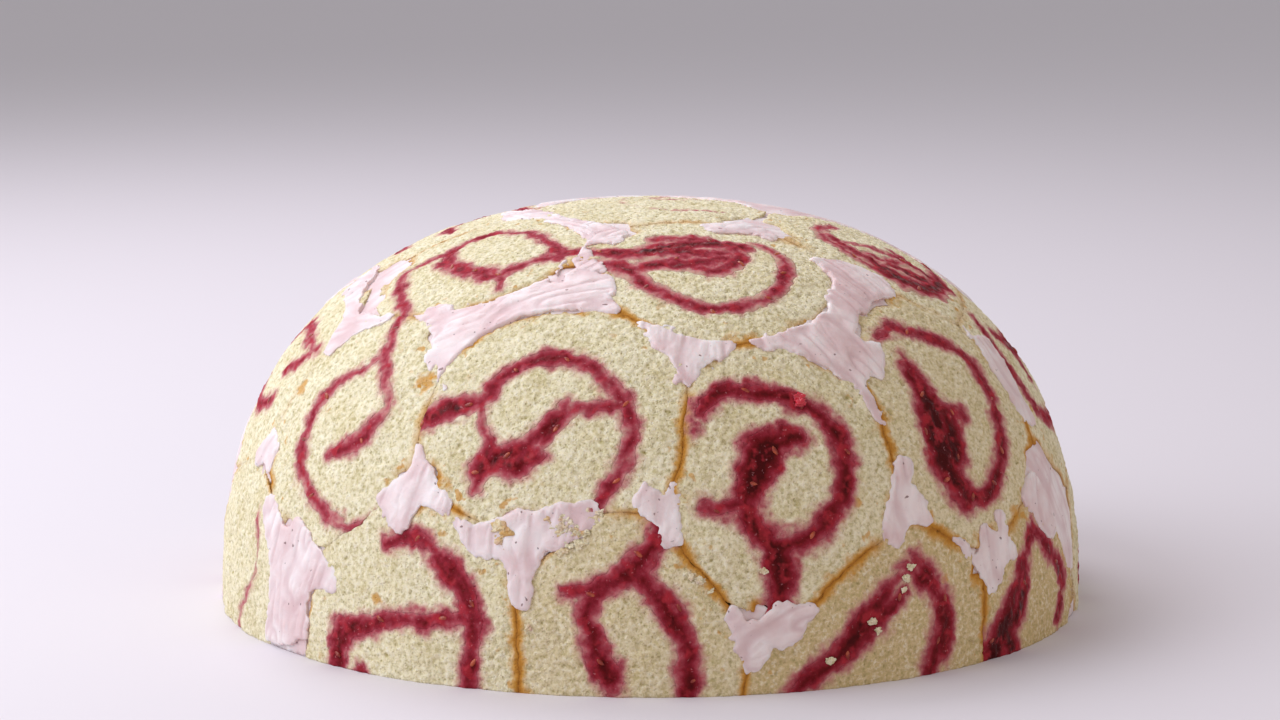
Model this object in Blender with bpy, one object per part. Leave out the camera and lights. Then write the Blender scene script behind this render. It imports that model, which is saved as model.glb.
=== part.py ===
"""Charlotte royale: slices of jam roll set close together round a dome of pale mousse.

Lengths are in metres unless a name or comment says millimetres, and the cake stands on z = 0 with
its front towards -Y. All the cuts run straight to the middle of the base, so the whole skin can be
laid out on a flat map: a point's distance from the middle of the map is its angle from the top.
Outlines are filled on that map, given a thickness, and then wrapped round the dome.
"""

import math
import random

import bmesh
import bpy
from mathutils import Matrix, Vector
from mathutils.geometry import delaunay_2d_cdt

MM = 0.001

# The dome
DOME_RADIUS = 0.100  # of the base
DOME_HEIGHT = 0.0915
DOME_FULLNESS = 2.37  # power of its profile: 2 is an ellipse, more has squarer shoulders
MAP_SCALE = 0.098  # metres on the map for one radian

# The slices of roll
SLICE_THICKNESS = 0.010
SLICE_GAP = 0.0003  # between two slices that touch
PIECE_GAP = 0.0003  # between the sponge of a slice and its jam
BED_MARGIN = 0.00045  # between the rim of a slice and the mousse
BED_GAP = 0.0010  # under a slice
RIM_DROP = 0.0008  # how far the face of a slice falls towards its rim
RIM_DROP_START = 0.8  # share of the way out where it begins to fall
CORNER_SHARPNESS = 80.0  # how tightly a slice fills the corner between its neighbours
MOUSSE_DEPTH = 0.0005  # of the mousse below the dome, between the slices

# How finely the outlines are drawn
RIM_POINTS = 24
JAM_STEP = 0.0063
JAM_MARGIN = 0.0015  # clear band beside the jam, without inner points
SPONGE_RINGS = ((0.0, 1), (0.42, 4), (0.76, 7))  # (share of the way out, number of inner points)
MOUSSE_STEP = 0.0165
FLOOR_POINTS = 80
MERGE = 0.00012  # points closer than this on the map become one
JAM_TOLERANCE = 0.0003  # how far a point of the jam's outline may be smoothed away

# Rows of slices from the top down. A slice is (azimuth, angle from the top, rim, swirl), seen
# from outside: its rim has 12 radii in mm, anticlockwise from its right, and its swirl is a list
# of arms of jam, each a list of (angle, distance from the middle in mm, half width in mm).
ROUND_RIM = (24.5,) * 12

UPPER_LEFT = (-46, 30, (20.5, 21, 21, 22, 24, 25, 25.5, 26.5, 26.5, 23, 21, 20), (
    ((12, 17, 2.0), (24, 16, 2.2), (52, 12.3, 1.6), (86, 12, 1.5), (117, 12.8, 1.5),
     (140, 14.8, 1.6), (164, 14.8, 1.6), (186, 13.6, 1.8), (205, 11.4, 2.2), (238, 8.6, 2.6),
     (278, 7.8, 2.0), (316, 9.2, 1.8), (322, 14, 1.8), (320, 17.5, 1.3)),
    ((186, 14, 1.6), (198, 19, 1.4), (208, 22.6, 1.5), (221, 22.6, 1.6), (240, 22.6, 1.6),
     (257, 24.5, 1.6), (262, 28, 1.6)),
))
UPPER_MIDDLE = (15, 31, (27.5, 25, 23, 26.5, 24, 25, 24.5, 25, 25, 24.8, 25, 26.5), (
    ((167, 27, 2.4), (165, 22, 3.0), (178, 18, 3.2), (197, 16.4, 2.6), (223, 15.4, 2.2),
     (248, 15.8, 2.2), (272, 15.4, 2.2), (298, 15.4, 2.1), (324, 15.8, 2.1), (352, 17.3, 2.1),
     (13, 18.6, 2.1), (32, 18.2, 1.9), (42, 17.4, 1.3)),
    ((174, 15.5, 2.2), (160, 10.5, 2.4), (150, 9, 2.6), (190, 3.5, 2.4), (280, 2.2, 2.4),
     (0, 4.8, 2.6), (32, 9.5, 2.8), (58, 12.4, 2.6), (92, 14.5, 2.6), (122, 17.5, 2.4)),
))
UPPER_RIGHT = (77, 33, (24, 24, 24, 24, 24, 23.5, 23, 23.5, 25, 26, 26, 25), (
    ((60, 14, 1.8), (90, 14.2, 2.0), (126, 14.8, 2.0), (158, 14.4, 2.0), (194, 15.8, 2.4),
     (224, 16, 3.2), (256, 15.8, 3.6), (288, 15.8, 3.2), (315, 18, 2.4), (335, 20, 1.6)),
    ((214, 16, 2.2), (211, 20, 1.6)),
    ((198, 14, 2.0), (206, 9, 2.0), (228, 6, 2.2), (262, 6, 2.4), (300, 7, 2.4), (340, 8, 2.0)),
))

MIDDLE_SIDE = (-80, 56, (22, 23, 24, 24.5, 24.5, 24.5, 24.5, 24.5, 24.5, 24.5, 24, 23), (
    ((200, 17, 1.6), (165, 16.5, 1.7), (140, 13, 1.7), (90, 8.8, 1.7), (45, 10.2, 1.9),
     (24, 17, 1.8)),
    ((22, 15.5, 2.0), (5, 10, 2.2), (350, 6, 2.0)),
    ((315, 12, 2.4), (280, 11, 2.0), (240, 13, 2.0), (205, 19, 1.6)),
))
MIDDLE_LEFT = (-49, 59, (21.5, 23, 23, 24.5, 25, 25, 24.5, 24.5, 25.5, 27, 27, 22.5), (
    ((97, 28, 2.2), (93, 20.8, 1.9), (84, 15.4, 1.8), (64, 12, 1.8), (42, 10.9, 1.7),
     (17, 11.6, 1.7), (348, 9.6, 2.0), (318, 8.5, 2.8), (285, 8.6, 1.9), (262, 9.2, 1.4)),
    ((84, 14.6, 1.2), (110, 10.2, 1.4), (146, 10.1, 1.9), (178, 10.9, 2.0), (210, 12.9, 2.0),
     (232, 15.8, 2.0), (258, 18.4, 2.0), (278, 21.6, 2.0), (292, 23.4, 1.5)),
))
MIDDLE_FRONT = (-14, 55, (27.7, 25.2, 25.8, 24.7, 25.4, 27, 28, 28, 26, 21.5, 23.5, 28.5), (
    ((185, 30, 3.2), (182, 22, 3.2), (178, 16.2, 2.4), (150, 14.2, 1.7), (118, 11.9, 2.0),
     (92, 11.2, 2.2), (60, 11.0, 2.0), (30, 11.6, 1.8), (8, 14.2, 2.0), (345, 16.6, 2.0),
     (330, 18.3, 1.9), (310, 20.8, 1.5)),
    ((2, 8.6, 1.6), (350, 4.6, 1.7), (270, 4.0, 2.2), (245, 9, 2.6), (235, 14, 3.4),
     (227, 18, 3.4), (224, 21, 2.2)),
    ((218, 15.5, 1.6), (198, 15.8, 1.3), (180, 16, 1.3)),
))
MIDDLE_RIGHT = (19, 62.5, (22.8, 24.2, 24.5, 26.3, 25.7, 24.5, 24, 28.5, 30, 28.5, 25, 23), (
    ((143, 20.8, 1.5), (130, 20.3, 2.0), (116, 18.8, 1.9), (98, 15.4, 2.0), (78, 13.5, 2.0),
     (55, 12.6, 2.2), (29, 12.2, 2.3), (4, 11.8, 2.3), (333, 12, 2.3), (307, 13, 2.2),
     (285, 15, 2.2), (265, 16.2, 2.2), (252, 18.5, 2.4), (256, 23.5, 2.4), (262, 31.5, 2.4)),
    ((70, 6.2, 1.5), (120, 6.2, 2.4), (165, 7.5, 3.6), (200, 9.3, 3.2), (216, 13, 2.6),
     (232, 16, 2.6), (250, 18.2, 2.4)),
    ((214, 13.5, 1.8), (206, 18, 1.8), (200, 21.5, 1.2)),
))
MIDDLE_FAR_RIGHT = (50, 57.5, (24.5, 24.5, 25.5, 26.5, 25, 22, 22.5, 27, 30, 27.5, 26, 25), (
    ((120, 21.5, 1.3), (104, 20.2, 1.9), (81, 16.8, 1.9), (55, 16, 1.9), (31, 15.4, 2.0),
     (3, 14.3, 2.0), (335, 14, 2.0), (312, 15.5, 2.2), (289, 18, 2.4), (271, 20.6, 2.4),
     (255, 21.2, 2.2), (240, 20, 2.5), (227, 16.5, 3.0), (210, 12.5, 3.4), (180, 8.4, 4.2),
     (142, 8.6, 2.6), (126, 12.8, 1.7), (122, 15, 1.0)),
    ((180, 6, 2.5), (220, 3.5, 2.4), (290, 3.9, 1.5)),
))

LOWER_FAR_LEFT = (-70, 84, (22, 23, 25, 25, 25, 25, 25, 25, 25, 25, 25, 24), (
    ((60, 21, 1.4), (40, 17, 1.6), (16, 14.6, 1.6), (357, 9.8, 1.8), (315, 8, 1.8),
     (285, 12, 1.8), (280, 16, 1.8)),
))
LOWER_LEFT = (-31, 84, (25.3, 25.5, 25.3, 25, 26.5, 27, 29.5, 33, 28, 26, 26, 26), (
    ((112, 19.2, 1.8), (95, 19.8, 2.0), (78, 18.5, 2.0), (59, 17.2, 2.1), (40, 16.6, 2.2),
     (19, 15.8, 2.2), (355, 15.5, 2.2), (334, 16.2, 2.0), (318, 21, 2.0)),
    ((16, 14.5, 1.8), (22, 10, 1.8), (40, 4.8, 1.9), (128, 3.2, 2.0), (174, 8.8, 2.2),
     (184, 15.3, 2.6), (195, 18.8, 2.5)),
))
LOWER_FRONT = (-1.5, 85, (20.6, 19.5, 21.5, 26, 28, 27.5, 25, 24, 24, 24, 24, 22.8), (
    ((72, 28, 2.2), (88, 21, 2.4), (98, 16.6, 2.6), (122, 16.2, 2.2), (140, 20.4, 1.4)),
    ((128, 15.6, 1.9), (149, 10.9, 2.2), (180, 8, 2.5), (213, 7.5, 2.4)),
    ((92, 16, 1.8), (78, 14.4, 1.8), (58, 13, 2.0), (31, 10.4, 2.1), (2, 10.3, 2.2),
     (338, 11, 2.0)),
))
LOWER_RIGHT = (31, 86, (25.7, 25.3, 26, 22, 21.5, 20.8, 32, 34, 26, 25, 25, 25), (
    ((82, 16.8, 1.6), (70, 16.6, 2.2), (46, 15.2, 2.6), (21, 14.8, 2.8), (350, 13.6, 2.6)),
    ((80, 15.8, 1.6), (92, 12.8, 1.7), (106, 10.2, 2.2), (141, 10, 3.0), (176, 10.8, 2.6),
     (186, 16.5, 2.4), (192, 21.5, 2.4), (204, 29, 2.2)),
))
LOWER_FAR_RIGHT = (59, 85, (23, 20, 21, 21, 19, 20, 22, 23, 23, 23, 23, 23), (
    ((88, 16.8, 1.6), (65, 13.4, 2.1), (28, 13.8, 2.3), (4, 15.6, 2.3), (338, 13, 2.0)),
    ((92, 16, 1.6), (108, 12.8, 1.8), (137, 8.6, 2.6), (182, 8.8, 3.2), (191, 14, 3.0),
     (198, 19, 2.0), (204, 26, 1.6)),
))

CROWN_RIM = (26, 25.5, 26, 26.5, 26, 25.5, 26, 26.5, 26, 25.5, 26, 26.5)
CROWN = (0, 0, CROWN_RIM, (
    ((40, 19.5, 2.0), (65, 18.5, 2.0), (90, 17.5, 2.0), (112, 14, 1.8), (130, 10.5, 1.6),
     (175, 7, 1.5), (232, 6.4, 1.5), (270, 9.4, 1.5), (298, 12, 1.8), (318, 15.8, 2.3),
     (327, 20.5, 2.2)),
    ((92, 16.5, 2.0), (76, 11.5, 2.2), (48, 10.5, 2.0)),
))
UPPER_ROW = (UPPER_LEFT, UPPER_MIDDLE, UPPER_RIGHT)
MIDDLE_ROW = (MIDDLE_SIDE, MIDDLE_LEFT, MIDDLE_FRONT, MIDDLE_RIGHT, MIDDLE_FAR_RIGHT)
LOWER_ROW = (LOWER_FAR_LEFT, LOWER_LEFT, LOWER_FRONT, LOWER_RIGHT, LOWER_FAR_RIGHT)

# The slices round the back carry on each row: (how many, angle from the top, rim, whether the
# swirl may be turned round; a slice that stands on the floor is only mirrored and keeps its height)
UPPER_BACK = (3, 31.5, ROUND_RIM, True)
MIDDLE_BACK = (6, 58, ROUND_RIM, True)
LOWER_BACK = (6, None, (27,) * 12, False)
BACK_SEED = 7
BACK_TILT = 1.5  # degrees that a slice may sit above or below its row
BACK_UNEVENNESS = 0.05  # share by which a rim may bulge or shrink
FITTED_RIM = 28.0  # mm, the radius that all the swirls above fit in

# Colour, roughness and how much light goes in under the surface
SPONGE = ("sponge", (0.80, 0.71, 0.43), 0.9, 0.15)
JAM = ("raspberry_jam", (0.22, 0.008, 0.025), 0.25, 0.1)
MOUSSE = ("raspberry_mousse", (0.86, 0.69, 0.72), 0.55, 0.2)


def dome_radius(polar):
    """Distance from the middle of the base to the dome, at an angle from the top."""
    across = abs(math.sin(polar)) / DOME_RADIUS
    along = abs(math.cos(polar)) / DOME_HEIGHT
    return (across**DOME_FULLNESS + along**DOME_FULLNESS) ** (-1 / DOME_FULLNESS)


def direction(azimuth, polar):
    """Unit vector at an azimuth from the front and an angle from the top, in radians."""
    return Vector((
        math.sin(polar) * math.sin(azimuth),
        -math.sin(polar) * math.cos(azimuth),
        math.cos(polar),
    ))


def to_map(way):
    """The point of the map that stands for a direction, which may lie below the floor."""
    polar = math.acos(max(-1.0, min(1.0, way.z)))
    azimuth = math.atan2(way.x, -way.y)
    return Vector((math.sin(azimuth), -math.cos(azimuth))) * polar * MAP_SCALE


def wrap(point, depth):
    """The place in the cake of a point of the map, at a depth below the dome."""
    polar = point.xy.length / MAP_SCALE
    azimuth = math.atan2(point.x, -point.y)
    floor_polar = math.pi / 2
    if polar > floor_polar - math.radians(0.1):
        polar = floor_polar
    place = direction(azimuth, polar) * (dome_radius(polar) - depth)
    if polar == floor_polar:
        place.z = 0.0
    return place


def round_the_loop(values, angle):
    """A value at an angle in degrees, on a smooth loop through evenly spaced values."""
    place = angle % 360 * len(values) / 360
    index = int(place)
    t = place - index
    a, b, c, d = (values[(index + k) % len(values)] for k in (-1, 0, 1, 2))
    return b + t * (c - a + t * (2 * a - 5 * b + 4 * c - d + t * (3 * (b - c) + d - a))) / 2


class Slice:
    """One slice of roll: where it sits, how far its rim would reach, and its swirl of jam."""

    def __init__(self, name, azimuth, polar, rim, swirl):
        self.name = name
        self.rim = [radius * MM for radius in rim]
        self.swirl = swirl
        azimuth = math.radians(azimuth)
        polar = math.radians(polar)
        self.polar = polar
        self.out = direction(azimuth, polar)
        self.right = Vector((math.cos(azimuth), math.sin(azimuth), 0.0))
        self.up = self.out.cross(self.right)

    def place(self, angle, distance):
        """The direction at an angle in degrees and a distance from this slice's middle."""
        arc = distance / MAP_SCALE
        side = self.right * math.cos(math.radians(angle)) + self.up * math.sin(math.radians(angle))
        return self.out * math.cos(arc) + side * math.sin(arc)

    def reach(self, way):
        """How far out a direction lies, as a share of this slice's own rim."""
        arc = math.acos(max(-1.0, min(1.0, way.dot(self.out))))
        angle = math.degrees(math.atan2(way.dot(self.up), way.dot(self.right)))
        return arc * MAP_SCALE / round_the_loop(self.rim, angle)

    def matrix(self):
        """The slice's own frame: the middle of its face, with local Z pointing out."""
        turn = Matrix((self.right, self.up, self.out)).transposed().to_4x4()
        return Matrix.Translation(self.out * dome_radius(self.polar)) @ turn


def crowding(piece, neighbours, way):
    """1 where the slice ends: at its own rim, or halfway to a neighbour, with rounded corners."""
    own = piece.reach(way)
    limits = [own] + [own - other.reach(way) + 1 for other in neighbours]
    return math.log(sum(math.exp(CORNER_SHARPNESS * limit) for limit in limits)) / CORNER_SHARPNESS


def rim_outline(piece, neighbours, margin):
    """Map points round a slice, moved out by a margin."""
    outline = []
    for step in range(RIM_POINTS):
        angle = 360 * step / RIM_POINTS
        inside, outside = 0.0, 1.3 * max(piece.rim)
        for _ in range(18):
            middle = (inside + outside) / 2
            if crowding(piece, neighbours, piece.place(angle, middle)) < 1:
                inside = middle
            else:
                outside = middle
        outline.append(to_map(piece.place(angle, inside - SLICE_GAP / 2 + margin)))
    return outline


def flat_arm(arm):
    """An arm of jam as (point, half width) on the slice's own plane, in even steps."""
    knots = [
        Vector((r * math.cos(math.radians(a)), r * math.sin(math.radians(a)), half)) * MM
        for a, r, half in arm
    ]
    knots = [2 * knots[0] - knots[1], *knots, 2 * knots[-1] - knots[-2]]
    samples = []
    for a, b, c, d in zip(knots, knots[1:], knots[2:], knots[3:]):
        steps = max(1, round((c.xy - b.xy).length / JAM_STEP))
        for k in range(steps):
            t = k / steps
            samples.append(b + t * (c - a + t * (2 * a - 5 * b + 4 * c - d
                                                 + t * (3 * (b - c) + d - a))) / 2)
    samples.append(knots[-2])
    return [(sample.xy, sample.z) for sample in samples]


def arm_faces(piece, arm):
    """An arm of jam as a chain of four-sided faces with a pointed one at each end, on the map."""
    samples = flat_arm(arm)
    sections = []
    for index, (centre, half) in enumerate(samples):
        before = samples[max(index - 1, 0)][0]
        after = samples[min(index + 1, len(samples) - 1)][0]
        along = (after - before).normalized()
        across = Vector((-along.y, along.x)) * half
        sections.append((centre + across, centre - across))
        if index in (0, len(samples) - 1):
            tip = centre + along * half * (-0.8 if index == 0 else 0.8)
            sections.insert(0 if index == 0 else len(sections), (tip, tip))
    faces = []
    for (left, right), (next_left, next_right) in zip(sections, sections[1:]):
        corners = [left, right, next_right, next_left]
        corners = [c for k, c in enumerate(corners) if (c - corners[k - 1]).length > MERGE]
        faces.append([to_map(piece.place(math.degrees(math.atan2(c.y, c.x)), c.length))
                      for c in corners])
    return faces


def inner_points(piece, neighbours):
    """Map points inside a slice, clear of its jam and its rim, that let its face curve."""
    samples = [sample for arm in piece.swirl for sample in flat_arm(arm)]
    points = []
    for share, count in SPONGE_RINGS:
        for step in range(count):
            angle = 360 * (step + 0.5) / count
            distance = share * round_the_loop(piece.rim, angle)
            flat = Vector((math.cos(math.radians(angle)), math.sin(math.radians(angle)))) * distance
            way = piece.place(angle, distance)
            in_jam = any((flat - centre).length < half + JAM_MARGIN for centre, half in samples)
            if not in_jam and crowding(piece, neighbours, way) < 0.9:
                points.append(to_map(way))
    return points


def floor_circle():
    """The map's own outline, which is the floor."""
    edge = MAP_SCALE * math.pi / 2
    turns = (2 * math.pi * step / FLOOR_POINTS for step in range(FLOOR_POINTS))
    return [Vector((math.cos(turn), math.sin(turn))) * edge for turn in turns]


def fill(outlines, loose_points):
    """Triangles over the outlines, each with the set of labels of the outlines it lies in.

    outlines is a list of (label, points). Returns the points and a list of (corners, labels).
    """
    points = [point.copy() for point in loose_points]
    faces = []
    for _, outline in outlines:
        faces.append(range(len(points), len(points) + len(outline)))
        points.extend(outline)
    filled = delaunay_2d_cdt(points, [], [list(face) for face in faces], 1, 1e-6)
    triangles = [
        (corners, {outlines[source][0] for source in sources})
        for corners, sources in zip(filled[2], filled[5])
    ]
    return filled[0], triangles


def flat_mesh(points, *groups):
    """A flat bmesh of groups of triangles, each its own material index, with near points merged."""
    mesh = bmesh.new()
    corners = {}
    for number, triangles in enumerate(groups):
        for triangle in triangles:
            for index in triangle:
                if index not in corners:
                    corners[index] = mesh.verts.new((*points[index], 0.0))
            face = mesh.faces.new([corners[index] for index in triangle])
            face.material_index = number
    bmesh.ops.remove_doubles(mesh, verts=mesh.verts, dist=MERGE)
    return mesh


def keep_largest(mesh):
    """Removes the loose scraps of a flat mesh."""
    unseen = set(mesh.faces)
    islands = []
    while unseen:
        island = {unseen.pop()}
        front = list(island)
        while front:
            face = front.pop()
            for near in {f for edge in face.edges for f in edge.link_faces} & unseen:
                unseen.remove(near)
                island.add(near)
                front.append(near)
        islands.append(island)
    islands.sort(key=lambda island: sum(face.calc_area() for face in island))
    scraps = [face for island in islands[:-1] for face in island]
    bmesh.ops.delete(mesh, geom=scraps, context="FACES")


def outline_of(mesh):
    """The longest loop of points round a flat mesh."""
    loops = []
    unseen = {edge for edge in mesh.edges if edge.is_boundary}
    while unseen:
        edge = unseen.pop()
        start, vertex = edge.verts
        loop = [start.co.xy.copy()]
        while vertex != start:
            loop.append(vertex.co.xy.copy())
            edge = next(e for e in vertex.link_edges if e in unseen)
            unseen.remove(edge)
            vertex = edge.other_vert(vertex)
        loops.append(loop)
    outline = max(loops, key=len)
    area = sum(a.x * b.y - a.y * b.x for a, b in zip(outline, outline[1:] + outline[:1]))
    return outline if area > 0 else outline[::-1]


def smoothed(outline):
    """An outline without the points that it hardly needs."""
    kept = list(outline)
    index = 0
    while index < len(kept) and len(kept) > 8:
        before, point, after = kept[index - 1], kept[index], kept[(index + 1) % len(kept)]
        along = (after - before).normalized()
        off = abs(along.x * (point - before).y - along.y * (point - before).x)
        if off < JAM_TOLERANCE:
            kept.pop(index)
        else:
            index += 1
    return kept


def grown(outline, margin):
    """An anticlockwise outline moved out all round by a margin."""
    moved = []
    for before, point, after in zip(outline[-1:] + outline, outline, outline[1:] + outline[:1]):
        into, away = (point - before).normalized(), (after - point).normalized()
        across = Vector((into.y + away.y, -into.x - away.x))
        moved.append(point + across * margin / max(0.6, 1 + into.dot(away)))
    return moved


def face_depth(piece, neighbours, point):
    """How far the face of a slice lies below the dome: nothing, but for the fall at its rim."""
    polar = point.xy.length / MAP_SCALE
    way = direction(math.atan2(point.x, -point.y), polar)
    share = (crowding(piece, neighbours, way) - RIM_DROP_START) / (1 - RIM_DROP_START)
    share = max(0.0, min(1.0, share))
    return RIM_DROP * share * share


def thicken(mesh, piece, neighbours):
    """Turns a flat part of a slice into a solid, wrapped round the dome."""
    for vertex in mesh.verts:
        vertex.co.z = -face_depth(piece, neighbours, vertex.co)
    faces = list(mesh.faces)
    extruded = bmesh.ops.extrude_face_region(mesh, geom=faces, use_keep_orig=True)["geom"]
    for vertex in (item for item in extruded if isinstance(item, bmesh.types.BMVert)):
        vertex.co.z = -SLICE_THICKNESS
    for vertex in mesh.verts:
        vertex.co = wrap(vertex.co, -vertex.co.z)
    bmesh.ops.recalc_face_normals(mesh, faces=mesh.faces)


def add_object(name, mesh, material, frame, collection, parent=None):
    """Makes a named object of a mesh in the cake's frame, with its origin at a frame of its own."""
    mesh.transform(frame.inverted())
    data = bpy.data.meshes.new(name)
    mesh.to_mesh(data)
    mesh.free()
    data.materials.append(material)
    item = bpy.data.objects.new(name, data)
    collection.objects.link(item)
    if parent:
        item.parent = parent
        frame = parent.matrix_basis.inverted() @ frame
    item.matrix_basis = frame
    return item


def add_material(name, colour, roughness, subsurface):
    """A plain food material."""
    material = bpy.data.materials.new(name)
    material.use_nodes = True
    shader = material.node_tree.nodes["Principled BSDF"]
    shader.inputs["Base Color"].default_value = (*colour, 1.0)
    shader.inputs["Roughness"].default_value = roughness
    shader.inputs["Metallic"].default_value = 0.0
    shader.inputs["Subsurface Weight"].default_value = subsurface
    material.diffuse_color = (*colour, 1.0)
    return material


def turned_swirl(swirl, turn, mirrored, scale):
    """A swirl turned by an angle, perhaps mirrored, and drawn larger or smaller."""
    return tuple(
        tuple(
            ((180 - angle if mirrored else angle) + turn, distance * scale, half * scale)
            for angle, distance, half in arm
        )
        for arm in swirl
    )


def back_slices(shown, back, draw):
    """The slices that carry a row on round the back, between its last and first shown ones."""
    count, polar, rim, may_turn = back
    first = shown[-1][0]
    spacing = (shown[0][0] + 360 - first) / (count + 1)
    slices = []
    for step in range(1, count + 1):
        uneven = tuple(radius * (1 + draw.uniform(-BACK_UNEVENNESS, BACK_UNEVENNESS))
                       for radius in rim)
        turn = draw.uniform(0, 360) if may_turn else 0
        mirrored = step % 2 == 1
        scale = min(uneven) / FITTED_RIM
        pattern = shown[-step % len(shown)]
        swirl = turned_swirl(pattern[3], turn, mirrored, scale)
        height = polar + draw.uniform(-BACK_TILT, BACK_TILT) if may_turn else pattern[1]
        slices.append((first + spacing * step, height, uneven, swirl))
    return slices


def all_slices():
    """Every slice of the cake, from the crown down and round each row from the left."""
    draw = random.Random(BACK_SEED)
    rows = (
        ("upper", UPPER_ROW, UPPER_BACK),
        ("middle", MIDDLE_ROW, MIDDLE_BACK),
        ("lower", LOWER_ROW, LOWER_BACK),
    )
    slices = [Slice("crown", *CROWN)]
    for row, shown, back in rows:
        for number, values in enumerate([*shown, *back_slices(shown, back, draw)], start=1):
            slices.append(Slice(f"{row}_{number}", *values))
    return slices


def neighbours_of(piece, slices):
    """The slices near enough to touch one."""
    nearest = math.cos(75 * MM / MAP_SCALE)
    return [other for other in slices if other is not piece and other.out.dot(piece.out) > nearest]


def build_slice(piece, slices, collection, cake, sponge_material, jam_material):
    """The sponge of a slice, and the jam that runs through it."""
    neighbours = neighbours_of(piece, slices)
    rim = ("rim", rim_outline(piece, neighbours, 0.0))
    floor = ("floor", floor_circle())
    arms = [("jam", face) for arm in piece.swirl for face in arm_faces(piece, arm)]
    points, triangles = fill([rim, floor, *arms], [])
    arms = flat_mesh(points, [c for c, labels in triangles if labels == {"rim", "floor", "jam"}])
    keep_largest(arms)
    jam_outline = smoothed(outline_of(arms))
    arms.free()

    cut = ("cut", grown(jam_outline, PIECE_GAP))
    points, triangles = fill([rim, floor, cut], inner_points(piece, neighbours))
    sponge = flat_mesh(points, [c for c, labels in triangles if labels == {"rim", "floor"}])
    keep_largest(sponge)
    thicken(sponge, piece, neighbours)
    body = add_object(f"sponge_{piece.name}", sponge, sponge_material, piece.matrix(), collection,
                      cake)

    points, triangles = fill([("jam", jam_outline)], [])
    jam = flat_mesh(points, [corners for corners, labels in triangles if labels])
    thicken(jam, piece, neighbours)
    swirl = add_object(f"jam_{piece.name}", jam, jam_material, piece.matrix(), collection)
    swirl.parent = body
    swirl.matrix_basis = Matrix()


def mousse_points(slices):
    """Evenly spread map points that let the mousse curve, clear of the slices' rims."""
    points = [Vector((0.0, 0.0))]
    rings = math.floor(MAP_SCALE * math.pi / 2 / MOUSSE_STEP)
    for ring in range(1, rings + 1):
        polar = ring * MOUSSE_STEP / MAP_SCALE
        count = round(2 * math.pi * math.sin(polar) * MAP_SCALE / MOUSSE_STEP)
        for step in range(count):
            way = direction(2 * math.pi * (step + ring % 2 / 2) / count, polar)
            nearest = min(slices, key=lambda piece: piece.reach(way))
            edge = crowding(nearest, neighbours_of(nearest, slices), way)
            if not 0.85 < edge < 1.1:
                points.append(to_map(way))
    return points


def build_mousse(slices, collection, cake, material):
    """The dome of mousse, with a bed sunk in it for each slice."""
    floor = ("floor", floor_circle())
    beds = [("bed", rim_outline(piece, neighbours_of(piece, slices), BED_MARGIN))
            for piece in slices]
    points, triangles = fill([floor, *beds], mousse_points(slices))
    between = [corners for corners, labels in triangles if labels == {"floor"}]
    sunken = [corners for corners, labels in triangles if labels == {"floor", "bed"}]
    mesh = flat_mesh(points, between, sunken)
    beds_region = [face for face in mesh.faces if face.material_index]
    for vertex in mesh.verts:
        vertex.co.z = -MOUSSE_DEPTH
    sunk = bmesh.ops.extrude_face_region(mesh, geom=beds_region)["geom"]
    for vertex in (item for item in sunk if isinstance(item, bmesh.types.BMVert)):
        vertex.co.z = -SLICE_THICKNESS - BED_GAP
    bmesh.ops.delete(mesh, geom=beds_region, context="FACES")
    for vertex in mesh.verts:
        vertex.co = wrap(vertex.co, -vertex.co.z)
    on_floor = [face for face in mesh.faces if all(v.co.z == 0 for v in face.verts)]
    bmesh.ops.delete(mesh, geom=on_floor, context="FACES")
    loose = [vertex for vertex in mesh.verts if not vertex.link_faces]
    bmesh.ops.delete(mesh, geom=loose, context="VERTS")
    base_edges = [edge for edge in mesh.edges if edge.is_boundary]
    bmesh.ops.triangle_fill(mesh, use_beauty=True, use_dissolve=False, edges=base_edges)
    bmesh.ops.recalc_face_normals(mesh, faces=mesh.faces)
    for face in mesh.faces:
        face.material_index = 0
    return add_object("mousse", mesh, material, Matrix(), collection, cake)


def clear_scene():
    """Removes what a new file holds."""
    for item in list(bpy.data.objects):
        bpy.data.objects.remove(item, do_unlink=True)


def main():
    """Builds the cake."""
    clear_scene()
    collection = bpy.data.collections.new("charlotte_royale")
    bpy.context.scene.collection.children.link(collection)
    cake = bpy.data.objects.new("charlotte_royale", None)
    collection.objects.link(cake)
    sponge_material = add_material(*SPONGE)
    jam_material = add_material(*JAM)
    slices = all_slices()
    for piece in slices:
        build_slice(piece, slices, collection, cake, sponge_material, jam_material)
    build_mousse(slices, collection, cake, add_material(*MOUSSE))


main()
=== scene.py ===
"""Looks of a charlotte royale: slices of jam roll set close together round a dome of pale mousse.

Lengths in this file are in millimetres, and become metres where a mesh or a light is made. The cake
stands on z = 0 with its front towards -Y. Each slice, and each patch of mousse smeared between the
slices, has a seat on the dome: a flat plane that is laid round the dome from the middle of the piece,
so that a distance from the middle is an arc on the cake.
"""

import logging
import math
import random
from dataclasses import dataclass, field
from enum import Enum

import bmesh
import bpy
import numpy as np
from bpy.types import Material, Node, NodeSocket, NodeTree, Object
from mathutils import Euler, Matrix
from mathutils.geometry import tessellate_polygon
from mathutils.kdtree import KDTree


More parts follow.
